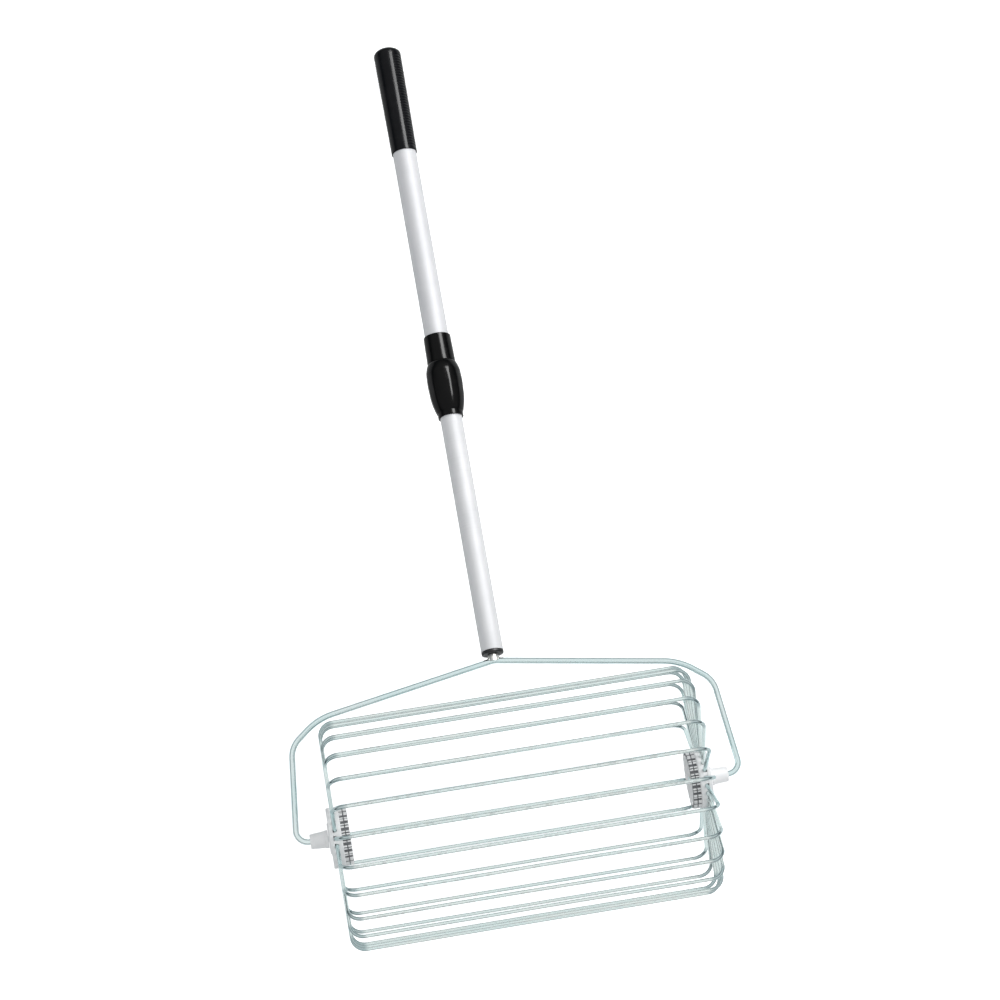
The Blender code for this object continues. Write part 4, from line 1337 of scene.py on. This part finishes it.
@dataclass
class TwistLock:
    """The gloss sleeve on the outer tube, the fluted nut and the split collet that it closes."""

    finishes: Finishes
    start: float = 0.5554
    nut_length: float = 0.0800
    band_radius: float = 0.0174
    band_length: float = 0.0080
    belly_radius: float = 0.0245
    neck_radius: float = 0.0198
    belly_start: float = 0.0400
    belly_end: float = 0.0620
    flutes: int = 12
    flute_depth: float = 0.0004
    lip: float = 0.0012
    nose_radius: float = 0.0185
    nose_length: float = 0.0260
    collet_radius: float = 0.0172
    collet_tip: float = 0.0162
    collet_length: float = 0.0300
    collet_slits: int = 4
    slit_width: float = 0.0016
    slit_length: float = 0.0215
    sleeve_length: float = 0.0400
    sleeve_low: float = 0.0194
    sleeve_top: float = 0.0188
    stop_height: float = 0.0060
    tube_radius: float = 0.0153
    seat_radius: float = 0.0168

    @property
    def sleeve_start(self) -> float:
        """Where the sleeve meets the nut."""
        return self.start + self.nut_length + GAP

    def sleeve(self) -> Skin:
        """Sleeve with its nose inside the nut, a soft taper and a rolled top edge."""
        low, high = self.sleeve_start, self.sleeve_start + self.sleeve_length
        nose = low - self.nose_length
        outline = rounded(
            [
                (self.tube_radius, nose),
                (self.nose_radius, nose),
                (self.nose_radius, low),
                (self.sleeve_low, low),
                (self.sleeve_low, low + 0.006),
                (self.sleeve_top, high - 0.004),
                (self.sleeve_top, high),
                (self.seat_radius, high),
                (self.seat_radius, low + self.stop_height),
                (self.tube_radius, low + self.stop_height),
                (self.tube_radius, nose),
            ],
            [0.0004, 0.0, 0.0006, 0.006, 0.004, 0.0009, 0.0002, 0.0, 0.0],
            6,
        )
        return lathe(outline[:-1], 120)

    def nut_outline(self) -> np.ndarray:
        """Outer line of the nut from its open lip to the sleeve.

        A band, then a rise to the belly that loses a squared share of the height, the belly's slight
        swell, and a rounded fall to the neck.
        """
        band_top = self.start + self.band_length
        rise = np.linspace(0.0, 1.0, 22)
        belly_start, belly_end = self.start + self.belly_start, self.start + self.belly_end
        end = self.start + self.nut_length
        foot = self.band_radius + self.lip * 0.9
        radius = foot + (self.belly_radius - 0.0005 - foot) * (1 - (1 - rise) ** 2)
        height = band_top + (belly_start - band_top) * rise
        swell = np.linspace(0.0, 1.0, 9)[1:]
        belly = self.belly_radius - 0.0005 + 0.0005 * np.sin(math.pi * swell)
        fall = np.linspace(0.0, 1.0, 12)[1:]
        shoulder = self.neck_radius + (self.belly_radius - 0.0005 - self.neck_radius) * np.cos(0.5 * math.pi * fall) ** 0.9
        lip = rounded(
            [
                (self.band_radius - 0.0006, self.start),
                (self.band_radius, self.start),
                (self.band_radius, band_top - self.lip),
                (self.band_radius + self.lip * 0.9, band_top),
            ],
            [0.0005, 0.0006],
            4,
        )
        return np.concatenate(
            [
                lip[:-1],
                np.stack([radius, height], axis=1),
                np.stack([belly, belly_start + (belly_end - belly_start) * swell], axis=1),
                np.stack([shoulder, belly_end + (end - 0.0004 - belly_end) * fall], axis=1),
                [[self.neck_radius - 0.0004, end]],
            ]
        )

    def nut(self) -> Skin:
        """Nut with twelve shallow flutes.

        The radius loses the flute depth times a half wave along the belly times the square of a raised
        cosine round it, which leaves narrow ridges between broad flutes.
        """
        outer = self.nut_outline()
        nose = self.sleeve_start - self.nose_length
        collet_top = nose - GAP
        chamber = collet_top - self.collet_length - GAP
        end = self.start + self.nut_length
        inner = np.array(
            [
                [self.nose_radius + GAP, end],
                [self.nose_radius + GAP, nose - GAP],
                [self.collet_radius + GAP, chamber + 0.5 * self.collet_length],
                [self.collet_tip + GAP, chamber],
                [self.tube_radius, chamber],
                [self.tube_radius, self.start],
            ]
        )
        outline = np.concatenate([outer, inner])
        steps = self.flutes * 18
        angle = np.linspace(0.0, math.tau, steps, endpoint=False)
        top, bottom = self.start + self.belly_end + 0.006, self.start + self.band_length
        share = np.clip((outline[:, 1] - bottom) / (top - bottom), 0.0, 1.0)
        press = np.where(np.arange(len(outline)) < len(outer), np.sin(math.pi * share) ** 0.7, 0.0)
        round_wave = 1.0 - np.abs(np.sin(0.5 * self.flutes * angle)) ** 3
        radius = outline[:, :1] - self.flute_depth * press[:, None] * round_wave[None, :]
        grid = np.stack(
            [radius * np.cos(angle), radius * np.sin(angle), np.broadcast_to(outline[:, 1:], radius.shape)], axis=-1
        )
        return Skin.from_grid(grid, wrap_rows=True, wrap_columns=True)

    def collet(self) -> Skin:
        """Split ring whose fingers are parted by slits.

        Columns inside a slit move along the ring to the slit's edges, so each finger is a closed block
        from edge to edge, and a band above the slits joins them.
        """
        top = self.sleeve_start - self.nose_length - GAP
        bottom = top - self.collet_length
        knee = bottom + 0.5 * self.collet_length
        made = []
        half = math.asin(0.5 * self.slit_width / self.collet_radius)
        sector = math.tau / self.collet_slits
        angle = np.linspace(half, sector - half, 24)
        outline = np.array(
            [
                [self.tube_radius, bottom],
                [self.collet_tip, bottom],
                [self.collet_radius, knee],
                [self.collet_radius, bottom + self.slit_length],
                [self.tube_radius, bottom + self.slit_length],
            ]
        )
        for number in range(self.collet_slits):
            turned = angle + sector * number
            columns = np.concatenate([turned[:1], turned, turned[-1:]])
            radius = np.broadcast_to(outline[:, :1], (5, len(columns))).copy()
            height = np.broadcast_to(outline[:, 1:], (5, len(columns))).copy()
            middle = outline.mean(axis=0)
            radius[:, [0, -1]] = middle[0]
            height[:, [0, -1]] = middle[1]
            grid = np.stack([radius * np.cos(columns), radius * np.sin(columns), height], axis=-1)
            made.append(Skin.from_grid(grid, wrap_rows=True, wrap_columns=False))
        band = np.array(
            [
                [self.tube_radius, bottom + self.slit_length],
                [self.collet_radius, bottom + self.slit_length],
                [self.collet_radius, top],
                [self.tube_radius, top],
            ]
        )
        made.append(lathe(band, 96))
        return Skin.together(made)

    def build(self) -> None:
        """Makes the lock's pieces."""
        gloss = self.finishes.gloss
        add_piece("gloss_sleeve", on_pole(self.sleeve()), gloss, Body.HANDLE, ["lock_sleeve"])
        add_piece("fluted_nut", on_pole(self.nut()), gloss, Body.LOCK_NUT, ["lock_nut"])
        collet = on_pole(self.collet())
        add_piece(
            "split_collet", collet, self.finishes.natural, Body.HANDLE, ["lock_collet"]
        )
        LOG.info("twist lock")


@dataclass
class Grip:
    """The rubber grip: fine cross ribs in panels, plain strips between them and a domed end."""

    finishes: Finishes
    start: float = 0.9573
    end: float = 1.1220
    contact: float = 1.1115
    open_radius: float = 0.0180
    end_radius: float = 0.0193
    dome: float = 0.01044
    rim: float = 0.0050
    ribs: int = 34
    rib_depth: float = 0.0007
    strips: int = 2
    strip_angle: float = -2.05
    strip_half: float = 0.83
    seat: float = 0.0168
    tube_end: float = 1.1100
    steps: int = 240

    def build(self) -> None:
        """Makes the grip.

        The skin's radius grows evenly along the grip. The ribs take away their depth times a softened
        square wave of the distance along it. They fade over the plain strips, by a smooth step of the
        angle from the middle of a strip, and over both ends.
        """
        angle = np.linspace(0.0, math.tau, self.steps, endpoint=False)
        first, last = self.start + self.rim, self.contact - 0.004
        along = np.linspace(first, last, self.ribs * 8 + 1)
        share = (along - self.start) / (self.contact - self.start)
        skin = self.open_radius + (self.end_radius - self.open_radius) * share
        wave = 0.5 - 0.5 * np.tanh(2.2 * np.cos(math.tau * self.ribs * (along - first) / (last - first))) / math.tanh(2.2)
        sector = math.tau / self.strips
        from_strip = np.abs((angle - self.strip_angle + sector / 2) % sector - sector / 2)
        fade = np.clip((from_strip - self.strip_half) / 0.08, 0.0, 1.0)
        fade = fade * fade * (3 - 2 * fade)
        body = skin[:, None] - self.rib_depth * wave[:, None] * fade[None, :]
        dome_angle = np.linspace(0.0, math.pi / 2, 14)
        dome_radius = self.end_radius * np.cos(dome_angle)
        dome_radius[-1] = 0.0
        dome_height = self.contact + self.dome * np.sin(dome_angle)
        lip = rounded(
            [
                (self.seat + 0.0002, self.start),
                (self.open_radius, self.start),
                (self.open_radius, self.start + 0.004),
            ],
            [0.0007],
            5,
        )
        inside = np.array([[0.0, self.tube_end], [self.seat, self.tube_end], [self.seat, self.start + 0.0003]])
        rows = [
            np.broadcast_to(inside[:, :1], (3, self.steps)),
            np.broadcast_to(lip[:, :1], (len(lip), self.steps)),
            body,
            np.broadcast_to(dome_radius[:, None], (14, self.steps)),
        ]
        radius = np.concatenate(rows)
        height = np.concatenate([inside[:, 1], lip[:, 1], along, dome_height])[:, None]
        grid = np.stack(
            [radius * np.cos(angle), radius * np.sin(angle), np.broadcast_to(height, radius.shape)], axis=-1
        )
        skin_mesh = Skin.from_grid(grid, wrap_rows=False, wrap_columns=True)
        add_piece(
            "ribbed_grip", on_pole(skin_mesh), self.finishes.rubber, Body.HANDLE, ["grip"]
        )
        LOG.info("grip")


@dataclass
class Studio:
    """Pale floor, soft lamps, an even sky and the camera."""

    floor_size: float = 40.0
    floor_fall: float = 0.012
    floor_hinge: float = -0.501
    floor_colour: tuple[float, float, float] = (0.90, 0.905, 0.91)
    sky_low: tuple[float, float, float] = (0.10, 0.125, 0.14)
    sky_high: tuple[float, float, float] = (0.88, 0.89, 0.89)
    eye: tuple[float, float, float] = (-0.2564, -1.0155, 4.6176)
    right: tuple[float, float, float] = (0.9858, -0.1651, 0.0310)
    down: tuple[float, float, float] = (-0.1548, -0.9643, -0.2149)
    lens: float = 122.717
    sensor: float = 36.0

    def floor(self) -> None:
        """Flat sheet under the object. Far away it shines by itself, so its edge isn't seen.

        It touches the cage's lowest wires and falls by 12 mm a metre from there towards the grip, since
        the pole slopes down and would pass through a level sheet when it is drawn out.
        """
        half = self.floor_size / 2
        corners = np.array([[-half, -half, 0], [half, -half, 0], [half, half, 0], [-half, half, 0]])
        corners[:, 2] = (self.floor_hinge - corners[:, 1]) * self.floor_fall
        mesh = bpy.data.meshes.new("floor")
        mesh.from_pydata(corners.tolist(), [], [(0, 1, 2, 3)])
        floor = bpy.data.objects.new("floor", mesh)
        bpy.context.scene.collection.objects.link(floor)
        graph = Graph("floor_paint")
        place = graph.place()
        x, y, _ = graph.parts(place)
        far = ((x * x + y * y) ** 0.5).ramp(1.1, 2.6)
        path = graph.node("ShaderNodeLightPath", output="Is Camera Ray")
        seen = path
        for other in ("Is Glossy Ray", "Is Transmission Ray"):
            seen = seen.largest(Socket(graph, path.output.node.outputs[other]))
        lift = seen * (0.05 + path * 0.54)
        glow = graph.blend((lift + far * (1.0 - lift)) * seen, (0.0, 0.0, 0.0), (1.0, 1.0, 1.0))
        mottle = graph.noise(place, 6.0, 4.0).ramp(0.2, 0.8, 0.0, 0.02)
        colour = graph.blend(mottle, self.floor_colour, (0.8, 0.8, 0.8))
        faded = graph.blend(far * seen, colour, (0.0, 0.0, 0.0))
        graph.finish(Base_Color=faded, Roughness=0.9, Specular_IOR_Level=0.1, Emission_Color=glow, Emission_Strength=1.0)
        mesh.materials.append(graph.material)

    def sky(self) -> None:
        """World: a soft gradient from the horizon up, and plain white where the camera looks past the
        floor."""
        world = bpy.data.worlds.new("studio_sky")
        bpy.context.scene.world = world
        world.use_nodes = True
        tree = world.node_tree
        background = tree.nodes["Background"]
        coordinates = tree.nodes.new("ShaderNodeTexCoord")
        split = tree.nodes.new("ShaderNodeSeparateXYZ")
        tree.links.new(coordinates.outputs["Generated"], split.inputs[0])
        mapped = tree.nodes.new("ShaderNodeMapRange")
        mapped.interpolation_type = "SMOOTHSTEP"
        mapped.inputs["From Min"].default_value = 0.12
        mapped.inputs["From Max"].default_value = 0.66
        tree.links.new(split.outputs["Z"], mapped.inputs["Value"])
        gradient = tree.nodes.new("ShaderNodeMix")
        gradient.data_type = "RGBA"
        tree.links.new(mapped.outputs[0], gradient.inputs[0])
        gradient.inputs[6].default_value = (*self.sky_low, 1.0)
        gradient.inputs[7].default_value = (*self.sky_high, 1.0)
        path = tree.nodes.new("ShaderNodeLightPath")
        shown = tree.nodes.new("ShaderNodeMix")
        shown.data_type = "RGBA"
        tree.links.new(path.outputs["Is Camera Ray"], shown.inputs[0])
        tree.links.new(gradient.outputs[2], shown.inputs[6])
        shown.inputs[7].default_value = (1.0, 1.0, 1.0, 1.0)
        tree.links.new(shown.outputs[2], background.inputs["Color"])

    def lamp(
        self, name: str, place: tuple[float, float, float], size: tuple[float, float], power: float
    ) -> bpy.types.Object:
        """Soft box that faces the middle of the object.

        Args:
            name: Name of the lamp.
            place: Its position.
            size: Width and height.
            power: Watts.

        Returns:
            The lamp.
        """
        data = bpy.data.lights.new(name, "AREA")
        data.shape = "RECTANGLE"
        data.size, data.size_y = size
        data.energy = power
        lamp = bpy.data.objects.new(name, data)
        bpy.context.scene.collection.objects.link(lamp)
        towards = np.array([0.0, -0.1, 0.1]) - np.array(place)
        self.aim(lamp, np.array(place), towards, np.array([0.0, 1.0, 0.02]))
        return lamp

    @staticmethod
    def aim(item: bpy.types.Object, place: np.ndarray, towards: np.ndarray, up: np.ndarray) -> None:
        """Places an object whose -Z looks along a direction.

        Args:
            item: A lamp or a camera.
            place: Its position.
            towards: Direction of its view.
            up: Rough direction of its +Y.
        """
        z = -towards / np.linalg.norm(towards)
        x = np.cross(up, z)
        x /= np.linalg.norm(x)
        y = np.cross(z, x)
        matrix = np.eye(4)
        matrix[:3, 0], matrix[:3, 1], matrix[:3, 2], matrix[:3, 3] = x, y, z, place
        item.matrix_world = Matrix(matrix.tolist())

    @staticmethod
    def flag(lamp: bpy.types.Object, finish: bpy.types.Material) -> None:
        """Keeps a lamp's light off every piece with one finish, as a black flag does in a studio.

        Args:
            lamp: The lamp.
            finish: The finish that would only glare in it.
        """
        linking = lamp.light_linking
        if linking.receiver_collection is None:
            linking.receiver_collection = bpy.data.collections.new(f"{lamp.name}_flag")
        dark = linking.receiver_collection
        for item in bpy.context.scene.objects:
            if item.type == "MESH" and finish.name in item.data.materials:
                dark.objects.link(item)
        for entry in dark.collection_objects:
            entry.light_linking.link_state = "EXCLUDE"

    def camera(self) -> None:
        """Camera of the photograph."""
        data = bpy.data.cameras.new("camera")
        data.lens = self.lens
        data.sensor_width = self.sensor
        data.clip_end = 200.0
        camera = bpy.data.objects.new("camera", data)
        bpy.context.scene.collection.objects.link(camera)
        right, down = np.array(self.right), np.array(self.down)
        self.aim(camera, np.array(self.eye), np.cross(right, down), -down)
        bpy.context.scene.camera = camera

    def build(self, finishes: Finishes) -> None:
        """Makes the whole studio.

        Args:
            finishes: The object's finishes; the two plated ones are kept out of the strip lamp.
        """
        bpy.context.scene.view_settings.view_transform = "Standard"
        self.floor()
        self.sky()
        self.lamp("soft_box_right", (2.6, 0.6, 1.5), (1.2, 2.4), 39.5).visible_glossy = False
        strip = self.lamp("strip_right", (1.4, 1.35, 2.35), (1.1, 1.8), 165.0)
        strip.visible_diffuse = False
        self.flag(strip, finishes.wire)
        self.flag(strip, finishes.rod)
        self.camera()
        LOG.info("studio")


def clear_startup() -> None:
    """Removes what a new Blender file holds."""
    for item in list(bpy.data.objects):
        bpy.data.objects.remove(item, do_unlink=True)


def main() -> None:
    """Builds the object piece by piece, then the studio."""
    logging.basicConfig(level=logging.INFO, format="%(name)s: %(message)s")
    clear_startup()
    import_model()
    finishes = Finishes()
    CageWires(finishes).build()
    for side in Side:
        Hub(finishes, side).build()
        AxleEnd(finishes, side).build()
    Yoke(finishes).build()
    Telescope(finishes).build()
    TwistLock(finishes).build()
    Grip(finishes).build()
    Studio().build(finishes)


if __name__ == "__main__":
    main()
